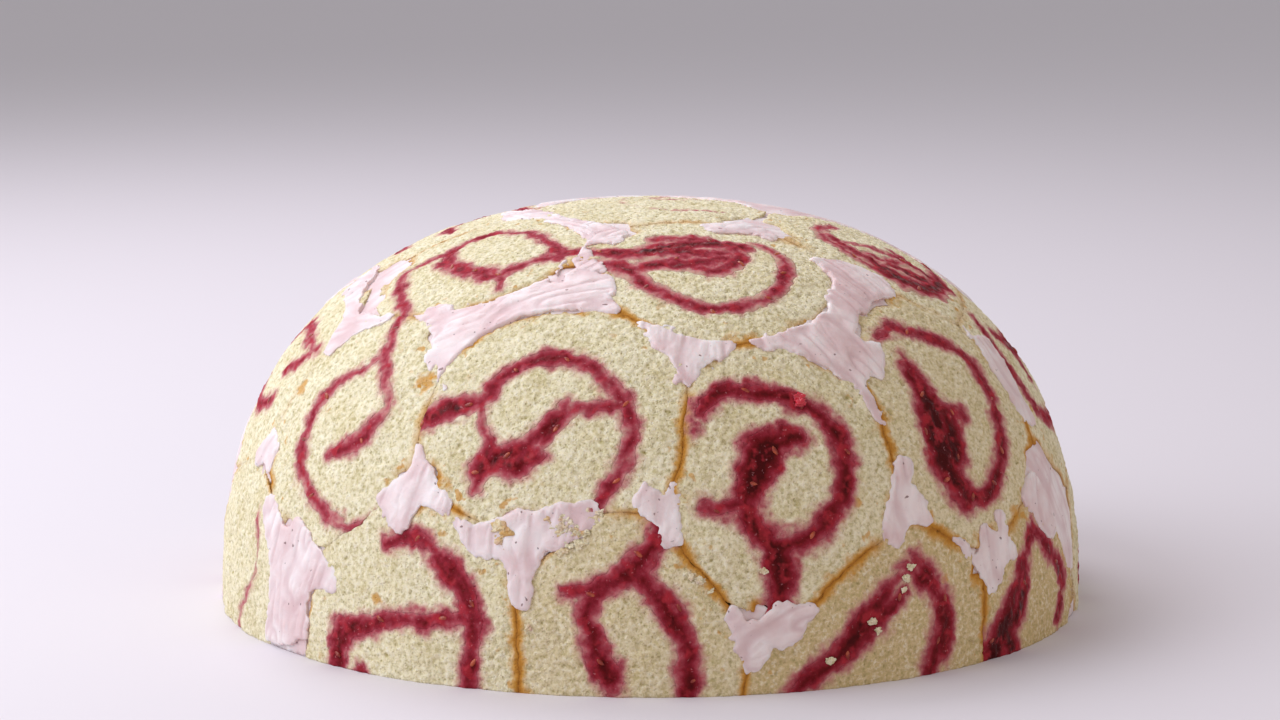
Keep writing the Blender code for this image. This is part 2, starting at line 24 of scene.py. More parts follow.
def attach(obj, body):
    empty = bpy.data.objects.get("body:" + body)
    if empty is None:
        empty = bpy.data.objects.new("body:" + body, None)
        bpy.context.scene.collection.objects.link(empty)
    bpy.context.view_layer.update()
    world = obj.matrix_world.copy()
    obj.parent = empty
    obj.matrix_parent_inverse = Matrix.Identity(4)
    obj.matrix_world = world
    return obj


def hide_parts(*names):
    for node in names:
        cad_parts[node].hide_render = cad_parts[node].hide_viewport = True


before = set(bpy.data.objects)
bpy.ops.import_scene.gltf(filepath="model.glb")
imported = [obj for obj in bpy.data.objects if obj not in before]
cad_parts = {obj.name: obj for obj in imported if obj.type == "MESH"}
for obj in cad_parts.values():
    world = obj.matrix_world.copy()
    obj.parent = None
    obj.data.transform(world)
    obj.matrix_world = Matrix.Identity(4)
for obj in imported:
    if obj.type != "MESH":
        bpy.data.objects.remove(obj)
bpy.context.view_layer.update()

Array = np.ndarray
MM = 0.001
BODY = "root"
LOG = logging.getLogger("charlotte_royale")

# The dome
DOME_RADIUS = 100.0
DOME_HEIGHT = 91.5
DOME_FULLNESS = 2.37
ARC_SCALE = 98.0  # mm of arc for one radian
CAMERA_TILT = math.radians(9.32)
CLEARANCE = 0.03  # everything stays at least this far inside the dome
FLOOR_GAP = 0.1  # and the mousse that shows stops this far above the floor

# The slices of roll. A slice is (azimuth, angle from the top, rim, swirl), seen from outside: its
# rim has 12 radii, anticlockwise from its right, and its swirl is a list of arms of jam, each a list
# of (angle, distance from the middle, half width).
ROUND_RIM = (24.5,) * 12

UPPER_LEFT = (-46, 30, (20.5, 21, 21, 22, 24, 25, 25.5, 26.5, 26.5, 23, 21, 20), (
    ((12, 17, 2.0), (24, 16, 2.2), (52, 12.3, 1.6), (86, 12, 1.5), (117, 12.8, 1.5),
     (140, 14.8, 1.6), (164, 14.8, 1.6), (186, 13.6, 1.8), (205, 11.4, 2.2), (238, 8.6, 2.6),
     (278, 7.8, 2.0), (316, 9.2, 1.8), (322, 14, 1.8), (320, 17.5, 1.3)),
    ((186, 14, 1.6), (198, 19, 1.4), (208, 22.6, 1.5), (221, 22.6, 1.6), (240, 22.6, 1.6),
     (257, 24.5, 1.6), (262, 28, 1.6)),
))
UPPER_MIDDLE = (15, 31, (27.5, 25, 23, 26.5, 24, 25, 24.5, 25, 25, 24.8, 25, 26.5), (
    ((167, 27, 2.4), (165, 22, 3.0), (178, 18, 3.2), (197, 16.4, 2.6), (223, 15.4, 2.2),
     (248, 15.8, 2.2), (272, 15.4, 2.2), (298, 15.4, 2.1), (324, 15.8, 2.1), (352, 17.3, 2.1),
     (13, 18.6, 2.1), (32, 18.2, 1.9), (42, 17.4, 1.3)),
    ((174, 15.5, 2.2), (160, 10.5, 2.4), (150, 9, 2.6), (190, 3.5, 2.4), (280, 2.2, 2.4),
     (0, 4.8, 2.6), (32, 9.5, 2.8), (58, 12.4, 2.6), (92, 14.5, 2.6), (122, 17.5, 2.4)),
))
UPPER_RIGHT = (77, 33, (24, 24, 24, 24, 24, 23.5, 23, 23.5, 25, 26, 26, 25), (
    ((60, 14, 1.8), (90, 14.2, 2.0), (126, 14.8, 2.0), (158, 14.4, 2.0), (194, 15.8, 2.4),
     (224, 16, 3.2), (256, 15.8, 3.6), (288, 15.8, 3.2), (315, 18, 2.4), (335, 20, 1.6)),
    ((214, 16, 2.2), (211, 20, 1.6)),
    ((198, 14, 2.0), (206, 9, 2.0), (228, 6, 2.2), (262, 6, 2.4), (300, 7, 2.4), (340, 8, 2.0)),
))

MIDDLE_SIDE = (-80, 56, (22, 23, 24, 24.5, 24.5, 24.5, 24.5, 24.5, 24.5, 24.5, 24, 23), (
    ((200, 17, 1.6), (165, 16.5, 1.7), (140, 13, 1.7), (90, 8.8, 1.7), (45, 10.2, 1.9),
     (24, 17, 1.8)),
    ((22, 15.5, 2.0), (5, 10, 2.2), (350, 6, 2.0)),
    ((315, 12, 2.4), (280, 11, 2.0), (240, 13, 2.0), (205, 19, 1.6)),
))
MIDDLE_LEFT = (-49, 59, (21.5, 23, 23, 24.5, 25, 25, 24.5, 24.5, 25.5, 27, 27, 22.5), (
    ((97, 28, 2.2), (93, 20.8, 1.9), (84, 15.4, 1.8), (64, 12, 1.8), (42, 10.9, 1.7),
     (17, 11.6, 1.7), (348, 9.6, 2.0), (318, 8.5, 2.8), (285, 8.6, 1.9), (262, 9.2, 1.4)),
    ((84, 14.6, 1.2), (110, 10.2, 1.4), (146, 10.1, 1.9), (178, 10.9, 2.0), (210, 12.9, 2.0),
     (232, 15.8, 2.0), (258, 18.4, 2.0), (278, 21.6, 2.0), (292, 23.4, 1.5)),
))
MIDDLE_FRONT = (-14, 55, (27.7, 25.2, 25.8, 24.7, 25.4, 27, 28, 28, 26, 21.5, 23.5, 28.5), (
    ((185, 30, 3.2), (182, 22, 3.2), (178, 16.2, 2.4), (150, 14.2, 1.7), (118, 11.9, 2.0),
     (92, 11.2, 2.2), (60, 11.0, 2.0), (30, 11.6, 1.8), (8, 14.2, 2.0), (345, 16.6, 2.0),
     (330, 18.3, 1.9), (310, 20.8, 1.5)),
    ((2, 8.6, 1.6), (350, 4.6, 1.7), (270, 4.0, 2.2), (245, 9, 2.6), (235, 14, 3.4),
     (227, 18, 3.4), (224, 21, 2.2)),
    ((218, 15.5, 1.6), (198, 15.8, 1.3), (180, 16, 1.3)),
))
MIDDLE_RIGHT = (19, 62.5, (22.8, 24.2, 24.5, 26.3, 25.7, 24.5, 24, 28.5, 30, 28.5, 25, 23), (
    ((143, 20.8, 1.5), (130, 20.3, 2.0), (116, 18.8, 1.9), (98, 15.4, 2.0), (78, 13.5, 2.0),
     (55, 12.6, 2.2), (29, 12.2, 2.3), (4, 11.8, 2.3), (333, 12, 2.3), (307, 13, 2.2),
     (285, 15, 2.2), (265, 16.2, 2.2), (252, 18.5, 2.4), (256, 23.5, 2.4), (262, 31.5, 2.4)),
    ((70, 6.2, 1.5), (120, 6.2, 2.4), (165, 7.5, 3.6), (200, 9.3, 3.2), (216, 13, 2.6),
     (232, 16, 2.6), (250, 18.2, 2.4)),
    ((214, 13.5, 1.8), (206, 18, 1.8), (200, 21.5, 1.2)),
))
MIDDLE_FAR_RIGHT = (50, 57.5, (24.5, 24.5, 25.5, 26.5, 25, 22, 22.5, 27, 30, 27.5, 26, 25), (
    ((120, 21.5, 1.3), (104, 20.2, 1.9), (81, 16.8, 1.9), (55, 16, 1.9), (31, 15.4, 2.0),
     (3, 14.3, 2.0), (335, 14, 2.0), (312, 15.5, 2.2), (289, 18, 2.4), (271, 20.6, 2.4),
     (255, 21.2, 2.2), (240, 20, 2.5), (227, 16.5, 3.0), (210, 12.5, 3.4), (180, 8.4, 4.2),
     (142, 8.6, 2.6), (126, 12.8, 1.7), (122, 15, 1.0)),
    ((180, 6, 2.5), (220, 3.5, 2.4), (290, 3.9, 1.5)),
))

LOWER_FAR_LEFT = (-70, 84, (22, 23, 25, 25, 25, 25, 25, 25, 25, 25, 25, 24), (
    ((60, 21, 1.4), (40, 17, 1.6), (16, 14.6, 1.6), (357, 9.8, 1.8), (315, 8, 1.8),
     (285, 12, 1.8), (280, 16, 1.8)),
))
LOWER_LEFT = (-31, 84, (25.3, 25.5, 25.3, 25, 26.5, 27, 29.5, 33, 28, 26, 26, 26), (
    ((112, 19.2, 1.8), (95, 19.8, 2.0), (78, 18.5, 2.0), (59, 17.2, 2.1), (40, 16.6, 2.2),
     (19, 15.8, 2.2), (355, 15.5, 2.2), (334, 16.2, 2.0), (318, 21, 2.0)),
    ((16, 14.5, 1.8), (22, 10, 1.8), (40, 4.8, 1.9), (128, 3.2, 2.0), (174, 8.8, 2.2),
     (184, 15.3, 2.6), (195, 18.8, 2.5)),
))
LOWER_FRONT = (-1.5, 85, (20.6, 19.5, 21.5, 26, 28, 27.5, 25, 24, 24, 24, 24, 22.8), (
    ((72, 28, 2.2), (88, 21, 2.4), (98, 16.6, 2.6), (122, 16.2, 2.2), (140, 20.4, 1.4)),
    ((128, 15.6, 1.9), (149, 10.9, 2.2), (180, 8, 2.5), (213, 7.5, 2.4)),
    ((92, 16, 1.8), (78, 14.4, 1.8), (58, 13, 2.0), (31, 10.4, 2.1), (2, 10.3, 2.2),
     (338, 11, 2.0)),
))
LOWER_RIGHT = (31, 86, (25.7, 25.3, 26, 22, 21.5, 20.8, 32, 34, 26, 25, 25, 25), (
    ((82, 16.8, 1.6), (70, 16.6, 2.2), (46, 15.2, 2.6), (21, 14.8, 2.8), (350, 13.6, 2.6)),
    ((80, 15.8, 1.6), (92, 12.8, 1.7), (106, 10.2, 2.2), (141, 10, 3.0), (176, 10.8, 2.6),
     (186, 16.5, 2.4), (192, 21.5, 2.4), (204, 29, 2.2)),
))
LOWER_FAR_RIGHT = (59, 85, (23, 20, 21, 21, 19, 20, 22, 23, 23, 23, 23, 23), (
    ((88, 16.8, 1.6), (65, 13.4, 2.1), (28, 13.8, 2.3), (4, 15.6, 2.3), (338, 13, 2.0)),
    ((92, 16, 1.6), (108, 12.8, 1.8), (137, 8.6, 2.6), (182, 8.8, 3.2), (191, 14, 3.0),
     (198, 19, 2.0), (204, 26, 1.6)),
))

CROWN_RIM = (26, 25.5, 26, 26.5, 26, 25.5, 26, 26.5, 26, 25.5, 26, 26.5)
CROWN = (0, 0, CROWN_RIM, (
    ((40, 19.5, 2.0), (65, 18.5, 2.0), (90, 17.5, 2.0), (112, 14, 1.8), (130, 10.5, 1.6),
     (175, 7, 1.5), (232, 6.4, 1.5), (270, 9.4, 1.5), (298, 12, 1.8), (318, 15.8, 2.3),
     (327, 20.5, 2.2)),
    ((92, 16.5, 2.0), (76, 11.5, 2.2), (48, 10.5, 2.0)),
))
UPPER_ROW = (UPPER_LEFT, UPPER_MIDDLE, UPPER_RIGHT)
MIDDLE_ROW = (MIDDLE_SIDE, MIDDLE_LEFT, MIDDLE_FRONT, MIDDLE_RIGHT, MIDDLE_FAR_RIGHT)
LOWER_ROW = (LOWER_FAR_LEFT, LOWER_LEFT, LOWER_FRONT, LOWER_RIGHT, LOWER_FAR_RIGHT)

# The slices round the back carry on each row: (how many, angle from the top, rim, whether the
# swirl may be turned round; a slice that stands on the floor is only mirrored and keeps its height)
UPPER_BACK = (3, 31.5, ROUND_RIM, True)
MIDDLE_BACK = (6, 58, ROUND_RIM, True)
LOWER_BACK = (6, None, (27,) * 12, False)
BACK_SEED = 7
BACK_TILT = 1.5
BACK_UNEVENNESS = 0.05
FITTED_RIM = 28.0

# Where the jam runs on past the arms above, or is thicker than they are
MORE_JAM = {
    "upper_1": (
        ((208, 13, 2.0), (270, 7.5, 2.6), (317, 11, 2.4), (354, 12, 2.2), (19, 17, 2.2),
         (26, 25, 2.0)),
    ),
    "upper_2": (
        ((151, 28, 2.2), (152, 19.5, 3.4), (127, 13, 3.8), (81, 12, 3.6), (40, 13.5, 2.8)),
        ((167, 13.5, 3.0), (164, 4.5, 3.2), (40, 5.5, 2.8)),
        ((150, 16, 2.6), (133, 11, 3.4), (105, 7, 3.4), (45, 8, 2.8)),
    ),
    "upper_3": (
        ((103, 14, 1.6), (151, 11, 2.4), (192, 12, 3.4), (221, 16, 4.0), (250, 18, 3.0)),
        ((130, 8.5, 1.2), (297, 2.5, 2.4), (284, 10, 3.4), (280, 17, 3.0)),
        ((174, 8, 1.6), (220, 8.5, 2.6), (250, 11, 3.2), (262, 15, 2.8)),
    ),
    "middle_2": (
        ((270, 20.3, 1.8), (284, 23.4, 1.6), (298, 26, 1.4), (312, 26.3, 1.0)),
        ((325, 8.6, 2.8), (350, 9.6, 2.4), (12, 11.4, 1.8)),
    ),
    "middle_3": (
        ((354, 7, 1.6), (2, 10.5, 1.5), (4, 14, 1.6)),
        ((218, 16.5, 2.0), (227, 19.5, 2.8), (231, 23, 2.0)),
        ((230, 17, 3.0), (246, 14.5, 3.2), (256, 11.5, 2.8)),
        ((178, 16.5, 0.7), (202, 16, 0.6), (222, 18, 0.8)),
        ((327, 19.5, 2.0), (311, 21, 2.0), (298, 24, 1.5)),
        ((257, 8, 2.4), (283, 3.5, 2.8), (357, 2.5, 1.6)),
    ),
    "middle_4": (
        ((62, 6.0, 2.0), (110, 4.6, 3.0), (160, 5.6, 3.8), (195, 7.8, 3.6)),
        ((128, 19.5, 1.4), (115, 18, 1.8), (101, 15.5, 2.0)),
        ((255, 20.5, 2.8), (260, 24, 2.6), (258, 30, 2.4)),
        ((149, 22, 0.1), (155, 20.6, 0.3)),
    ),
    "middle_5": (
        ((129, 14, 1.6), (160, 9.5, 3.2), (190, 8.5, 4.4), (216, 12.5, 4.6), (233, 17.5, 4.2),
         (250, 22, 3.4)),
        ((195, 5, 3.0), (228, 8, 3.8), (238, 13, 3.8)),
    ),
    "lower_2": (
        ((183, 18.5, 2.6), (194, 19.5, 2.8), (205, 21.5, 2.6), (211, 25, 2.4)),
        ((216, 15, 1.2), (220, 16.5, 2.0), (226, 20, 2.2)),
        ((70, 16.5, 2.4), (43, 15.5, 2.4), (12, 15.5, 2.2), (345, 15.5, 2.4), (318, 19, 2.4)),
    ),
    "lower_3": (
        ((120, 16, 2.5), (100, 17, 3.0), (84, 21.5, 2.8), (81, 27, 2.0)),
        ((118, 15.4, 2.2), (133, 15, 2.6), (152, 11, 3.1), (183, 8.2, 3.2), (222, 7.6, 3.3)),
        ((89, 16, 2.4), (59, 11, 2.7), (15, 10, 2.8), (318, 13, 2.6)),
    ),
    "lower_4": (
        ((77, 12, 1.8), (100, 8, 2.6), (150, 8.5, 3.0), (179, 13.5, 3.2), (193, 19.5, 3.0)),
        ((69, 19, 1.6), (46, 16.5, 2.6), (18, 14, 3.0), (333, 11, 2.8), (315, 14, 2.6)),
    ),
    "lower_5": (
        ((103, 13.6, 1.4), (136, 11, 2.4), (170, 11.7, 3.0), (189, 15, 4.2), (199, 20, 5.0)),
        ((189, 15, 3.0), (212, 14, 3.4), (224, 16, 3.0)),
    ),
}

# How the jam of a slice differs from its arms, each (thinner, paler) in mm: by how much less it
# reaches at each side, and how much nearer to its edge its colour is taken from. Below 0 it is
# thicker or darker.
THIN_JAM = {
    "crown": (1.1, 1.3), "upper_1": (0.2, 0.5), "upper_2": (-0.2, 1.3), "upper_3": (-0.3, 1.4),
    "middle_1": (0.2, 0.5), "middle_2": (0.3, 0.6), "middle_3": (0.0, 0.6),
    "middle_4": (0.05, -0.3), "middle_5": (0.35, -0.2), "lower_1": (0.9, 1.1),
    "lower_2": (0.2, 0.0), "lower_3": (0.1, 0.2), "lower_4": (0.35, -0.1), "lower_5": (0.35, -0.3),
}

# Where the front shows the golden skin between two slices, each (azimuth, angle from the top, how
# far it reaches)
GOLDEN_SEAMS = (
    (5, 59, 12), (4, 66, 12), (6, 75, 12), (10, 79, 12), (24, 78, 15), (18, 81, 9), (34, 60, 9),
    (-16, 81, 10), (-16, 87, 10), (-6, 42, 12), (-29, 48, 9), (15, 46, 9), (46, 78, 12),
    (45, 83, 10), (-28, 68, 8), (12, 88, 9), (42, 73, 10), (66, 66, 8), (-62, 69, 5),
)

# How much browner than the others the crumb of a slice is
BROWNER_CRUMB = {"lower_3": 0.35, "lower_4": 0.8, "lower_5": 0.9, "middle_4": 0.1, "middle_5": 0.3}

# Scraps of golden skin on the front, each (azimuth, angle from the top, size)
SKIN_SCRAPS = (
    (55, 72.7, 2.2), (68.6, 77.3, 2.4), (27.5, 68, 1.6), (-36.3, 53, 3.0), (-36.1, 66.8, 1.8),
    (-30.2, 64.3, 1.8), (73.6, 61.8, 2.0), (66.5, 68.7, 2.2), (68.7, 80.7, 1.6),
    (39.1, 78.7, 1.6), (-64.3, 57.5, 2.4), (-54.2, 58.8, 1.6), (-36.1, 80.7, 1.2),
    (37.5, 71.2, 2.2), (25, 70, 1.2),
)

# Patches of mousse smeared over the rims where slices meet, each (name, azimuth, angle from the
# top, direction of its creases in degrees, least width of a rim that it may cover, below which it
# dips under that rim, or -1 where it never dips, outline as (right, up) from its middle)
SMEARS = (
    ("upper_left", -27, 41, 35, 1.6, (
        (-8, -22.5), (-15, -15.5), (-16.5, -8.5), (-20.5, -4), (-25, -1), (-19.5, 1.5),
        (-14.5, 1), (-6, 1.5), (-5, 3.5), (2.5, 10.5), (4, 9.5), (7, 10.5), (6, 14), (9, 17.5),
        (15.5, 16.5), (20, 10.5), (22.5, 4), (21.5, 1.5), (15, 2.5), (6.5, 0), (1, -4),
        (-4.5, -12), (-6, -13.5), (-8, -17.5))),
    ("upper_middle", 5, 48, 80, 0.9, (
        (-8.5, 10.5), (-9, 9.5), (-6, 2.5), (-4, 0.5), (-2, -2.5), (-2, -7), (0, -7),
        (1.5, -7.5), (2.5, -5.5), (4, -2.5), (6, -1), (8, -1.5), (11, 2.5), (11, 5), (4.5, 5),
        (1.5, 6.5), (-0.5, 6.5), (-1, 8))),
    ("upper_right", 35, 46, -75, 0.4, (
        (-22, 3), (-14, 3), (-12, 4), (-5.5, 4.5), (-3, 7), (0.5, 8), (2, 11.5), (4.5, 13),
        (9, 18), (9, 23.5), (9, 27), (16.5, 25), (24, 18.5), (24.5, 15), (23, 11),
        (14.5, 9.5), (11.5, 6), (8, 5), (4.5, 2), (3.5, -0.5), (4.5, -2.5), (8, -2.5),
        (6, -8.5), (3.5, -12), (1, -11), (-0.5, -12.5), (0, -21.5), (-1.5, -22.5), (-3, -17.5),
        (-4, -13.5), (-9, -6.5), (-11.5, -4.5), (-15.5, -2), (-21.5, 0.5))),
    ("lower_left", -15, 72, 85, -1, (
        (-17, 4.5), (-15.5, 0), (-13, -2.5), (-10.5, -3.5), (-7.5, -3), (-6, -4.5), (-4.5, -9),
        (-3.5, -13), (-0.5, -13.5), (0.5, -9.5), (1, -6), (3, -2), (5.5, -1), (8.5, 0.5),
        (11, 2), (12, 4.5), (14.5, 5), (13.5, 8), (10.5, 9.5), (6, 8.5), (1.5, 7.5), (-0.5, 6.5),
        (-3, 7), (-6, 6), (-9, 4.5), (-13.5, 3.5))),
    ("lower_middle", 1, 68, 70, -1, (
        (-4.5, 4), (-3, 6), (-1, 4.5), (0.5, 4), (2, 6), (4, 5.5), (4, 1.5), (4.5, -1.5),
        (4.5, -6), (2, -7), (-0.5, -6), (0, -3), (-2.5, -2), (-4.5, 0.5))),
    ("lower_right", 34, 69, 80, -1, (
        (1, 10), (3, 10.5), (5, 9), (5, 6.5), (3.5, 4.5), (5.5, 2), (6.5, -1.5), (7.5, -4.5),
        (3, -4), (0, -5), (-1, -7), (-3.5, -8.5), (-6.5, -7), (-6, -3.5), (-3.5, 0.5),
        (-1.5, 4.5))),
    ("far_left_low", -52, 79, 75, -1, (
        (-16, 12.5), (-15.5, 8), (-12.5, 3.5), (-9.5, -2), (-9, -8), (-10.5, -13), (-10, -18),
        (3.5, -16), (6.5, -12), (6, -8.5), (6.5, -6), (9.5, -3), (14.5, -3), (16, -1),
        (14.5, 2.5), (11, 3), (8.5, 5), (6, 7), (2.5, 9), (-1, 10.5), (-3, 8), (-7.5, 9.5), (-12, 13))),
    ("far_left", -66, 67, 60, 0.5, (
        (-4.5, -3), (-6.5, -0.5), (-2.5, 4), (-1, 6), (4, 3.5), (5.5, 1.5), (5, -3.5),
        (1, -2.5))),
    ("left", -32, 68, 75, -1, (
        (-3, 11), (-3, 5.5), (-7, 2.5), (-9, -0.5), (-8, -3.5), (-5, -6.5), (-2.5, -7.5),
        (-0.5, -6), (0.5, -3), (3, -1), (6, -2), (9, -2.5), (8.5, 1.5), (5, 3.5), (3, 6.5),
        (0, 9.5))),
    ("low_middle", 14, 82, 20, -1, (
        (-9, 2), (-7.5, 5), (-6, 4.5), (-4.5, 2), (-2, 2), (0.5, 3), (2.5, 5), (6, 4.5),
        (9.5, 5), (11, 3), (8.5, 0.5), (7.5, -2.5), (3.5, -4), (0.5, -4.5), (-0.5, -7),
        (-3, -9), (-5, -8), (-6.5, -5), (-8, 0))),
    ("low_right", 49, 77, 85, -1, (
        (-12, 6), (-10, 5.5), (-7, 2), (-5, 1.5), (-4, 3), (-3, 7), (-1.5, 7.5), (0, 5), (2, 5),
        (3, 8.5), (5, 8.5), (6, 4), (8, 1), (8, -2), (4, -3), (2, -6), (-3, -9), (-4.5, -5),
        (-7, -2), (-10, 1.5))),
    ("high_left", -70, 45, 20, -1, (
        (-18.5, 2), (-22, 8.5), (-22, 11.5), (-17.5, 12.5), (-11, 9.5), (-2.5, 3.5),
        (3.5, 0.5), (8.5, -0.5), (15, 0.5), (19, 3), (20, 0.5), (14, -5), (10.5, -11.5),
        (6.5, -12), (4.5, -7), (1, -3.5), (-5, -0.5))),
    ("top_middle", -23, 24, 60, 0.5, (
        (0.5, -16), (0, -12.5), (1, -9.5), (6.5, -14), (11.5, -12.5), (5, -6), (2.5, -2),
        (9, 1.5), (9, 6.5), (4.5, 10), (-17.5, 19.5), (-23.5, 24), (-4.5, 9), (-1, 4.5),
        (1.5, 0))),
    ("top_left", -50, 17, 0, 0.5, (
        (-28.5, 4.5), (-23, 6.5), (-13, 6.5), (13.5, -1), (18.5, -4.5), (21, -8), (10.5, -4),
        (1.5, -2), (-8.5, -1.5), (-15, -4))),
    ("top_right", 37, 21, 0, 0.5, (
        (-7.5, 6.5), (-1, 7.5), (5.5, 6), (7.5, 1), (6, -6), (3, -6.5), (0.5, -2.5),
        (-7.5, 1.5))),
    ("far_right", 68, 56, 80, 0.5, (
        (-1, 13), (-0.5, 10), (7, 8), (4, -4), (5, -9), (4, -13.5), (-2.5, -12), (-4, -8.5),
        (-3.5, 2.5), (-2, 7.5), (-2.5, 10.5))),
    ("far_right_low", 63, 73, 75, 0.8, (
        (-9, 3.5), (-1, 7), (1.5, 5), (6, -4.5), (6, -8), (2.5, -8.5), (-1, -6))),
)

# Inputs and output of Blender's colour mixer, which share their names
MIX_SHARE, MIX_FIRST, MIX_SECOND, MIX_RESULT = 0, 6, 7, 2


class Slot(Enum):
    """The record's material slots."""

    SPONGE = "sponge"
    JAM = "jam"
    MOUSSE = "mousse"


def linear(colour: str) -> tuple[float, float, float, float]:
    """Turns an sRGB hex colour to linear values.

    Args:
        colour: as "#RRGGBB".

    Returns:
        Linear red, green, blue and an alpha of 1.
    """
    shares = [int(colour[at:at + 2], 16) / 255 for at in (1, 3, 5)]
    return (*(s / 12.92 if s <= 0.04045 else ((s + 0.055) / 1.055) ** 2.4 for s in shares), 1.0)


def per_mm(size: float) -> float:
    """The scale of a pattern in object space that repeats over a size in mm."""
    return 1 / (size * MM)


def feed(tree: NodeTree, node: Node, inputs: dict) -> None:
    """Fills some of a node's inputs.

    Args:
        tree: the material's node tree.
        node: the node.
        inputs: for each input, by name or number, its value, or the socket that feeds it, or the
            node whose first output feeds it.
    """
    for name, value in inputs.items():
        value = value.outputs[0] if isinstance(value, Node) else value
        if isinstance(value, NodeSocket):
            tree.links.new(value, node.inputs[name])
        else:
            node.inputs[name].default_value = value


def add_node(tree: NodeTree, kind: str, inputs: dict | None = None,
             **settings: object) -> Node:
    """Adds a node with its settings and links.

    Args:
        tree: the material's node tree.
        kind: Blender's name for the node, without the "ShaderNode" that it starts with.
        inputs: for each input, by name or number, its value, or the socket that feeds it, or the
            node whose first output feeds it.
        settings: the node's own settings.

    Returns:
        The node.
    """
    node = tree.nodes.new("ShaderNode" + kind)
    for name, value in settings.items():
        setattr(node, name, value)
    feed(tree, node, inputs or {})
    return node


def new_material(name: str) -> tuple[Material, NodeTree, Node]:
    """Starts a material.

    Args:
        name: of what it is and how its surface was made.

    Returns:
        The material, its node tree and its shader.
    """
    material = bpy.data.materials.new(name)
    material.use_nodes = True
    return material, material.node_tree, material.node_tree.nodes["Principled BSDF"]


def random_share(cells: Array, seed: int) -> Array:
    """Even random numbers for the cells of a grid in space.

    Args:
        cells: whole numbers, the last axis being x, y and z.
        seed: a different number gives other values.

    Returns:
        A number from 0 to 1 for each cell.
    """
    x, y, z = (cells[..., axis].astype(np.uint64) for axis in range(3))
    mixed = x * np.uint64(0x9E3779B1) ^ y * np.uint64(0x85EBCA77) ^ z * np.uint64(0xC2B2AE3D)
    mixed ^= np.uint64(seed * 0x27D4EB2F % 2**32)
    mixed = (mixed ^ (mixed >> np.uint64(15))) * np.uint64(0x2C1B3C6D)
    mixed = (mixed ^ (mixed >> np.uint64(12))) * np.uint64(0x297A2D39)
    mixed ^= mixed >> np.uint64(15)
    return (mixed & np.uint64(0xFFFFFF)).astype(float) / 0x1000000


def noise(points: Array, size: float, seed: int) -> Array:
    """Smooth random values in space.

    Args:
        points: places, the last axis being x, y and z.
        size: distance over which a value changes.
        seed: a different number gives other values.

    Returns:
        Values from -1 to 1.
    """
    scaled = points * (1 / size)
    cell = np.floor(scaled)
    part = scaled - cell
    part = part * part * (3 - 2 * part)
    cell = cell.astype(np.int64)
    total = np.zeros(points.shape[:-1])
    for corner in np.ndindex(2, 2, 2):
        share = np.prod(np.where(corner, part, 1 - part), axis=-1)
        total += share * (2 * random_share(cell + corner, seed) - 1)
    return total


def waves(points: Array, layers: tuple, shift: int = 0) -> Array:
    """Layers of noise, one on another.

    Args:
        points: places, the last axis being x, y and z.
        layers: each (height, size, seed).
        shift: added to every seed.

    Returns:
        Their sum at each place.
    """
    return sum(height * noise(points, size, seed + shift) for height, size, seed in layers)


def drift(points: Array, layers: tuple, axes: int) -> Array:
    """Random moves along a number of axes, by layers of noise as for waves."""
    return np.stack([waves(points, layers, axis) for axis in range(axes)], axis=1)


def balls(points: Array, spacing: float, radii: tuple[float, float], share: float,
          seed: int) -> Array:
    """How deep places lie in round balls scattered in space.

    Args:
        points: places, the last axis being x, y and z.
        spacing: size of the cells that may each hold a ball.
        radii: the smallest and the largest ball.
        share: how many of the cells hold one.
        seed: a different number gives other balls.

    Returns:
        1 at the middle of a ball and 0 outside all of them.
    """
    cell = np.floor(points / spacing).astype(np.int64)
    deepest = np.zeros(points.shape[:-1])
    for step in np.ndindex(3, 3, 3):
        home = cell + step - 1
        held = np.flatnonzero(random_share(home, seed) < share)
        home = home[held]
        offset = np.stack([random_share(home, seed + axis) for axis in (1, 2, 3)], axis=-1)
        radius = radii[0] + (radii[1] - radii[0]) * random_share(home, seed + 4)
        apart = np.linalg.norm(points[held] - (home + offset) * spacing, axis=-1)
        deepest[held] = np.maximum(deepest[held], 1 - (apart / radius) ** 2)
    return deepest


def smooth_step(values: Array, start: float, end: float) -> Array:
    """0 before the start, 1 after the end, and a smooth rise between them."""
    share = np.clip((values - start) / (end - start), 0, 1)
    return share * share * (3 - 2 * share)


def between(a: Array, b: Array, c: Array, d: Array,
            t: Array) -> Array:
    """A smooth curve from b to c that also heeds the points before and after them.

    Args:
        a: the point before.
        b: where the curve is at t = 0.
        c: where the curve is at t = 1.
        d: the point after.
        t: how far along.

    Returns:
        The curve's points.
    """
    return b + t * (c - a + t * (2 * a - 5 * b + 4 * c - d + t * (3 * (b - c) + d - a))) / 2


def smooth_arm(arm: tuple, step: float) -> Array:
    """An arm of jam as points (x, y, half width) on its slice's plane.

    Args:
        arm: a list of (angle, distance from the middle, half width).
        step: about how far apart the points are.

    Returns:
        An array of shape (points, 3).
    """
    angle, distance, half = np.array(arm, dtype=float).T
    angle = np.radians(angle)
    knots = np.stack([distance * np.cos(angle), distance * np.sin(angle), half], axis=1)
    run = np.vstack([2 * knots[0] - knots[1], knots, 2 * knots[-1] - knots[-2]])
    curves = []
    for a, b, c, d in zip(run, run[1:], run[2:], run[3:]):
        count = max(1, round(math.dist(b[:2], c[:2]) / step))
        curves.append(between(a, b, c, d, np.arange(count)[:, None] / count))
    return np.vstack([*curves, knots[-1]])


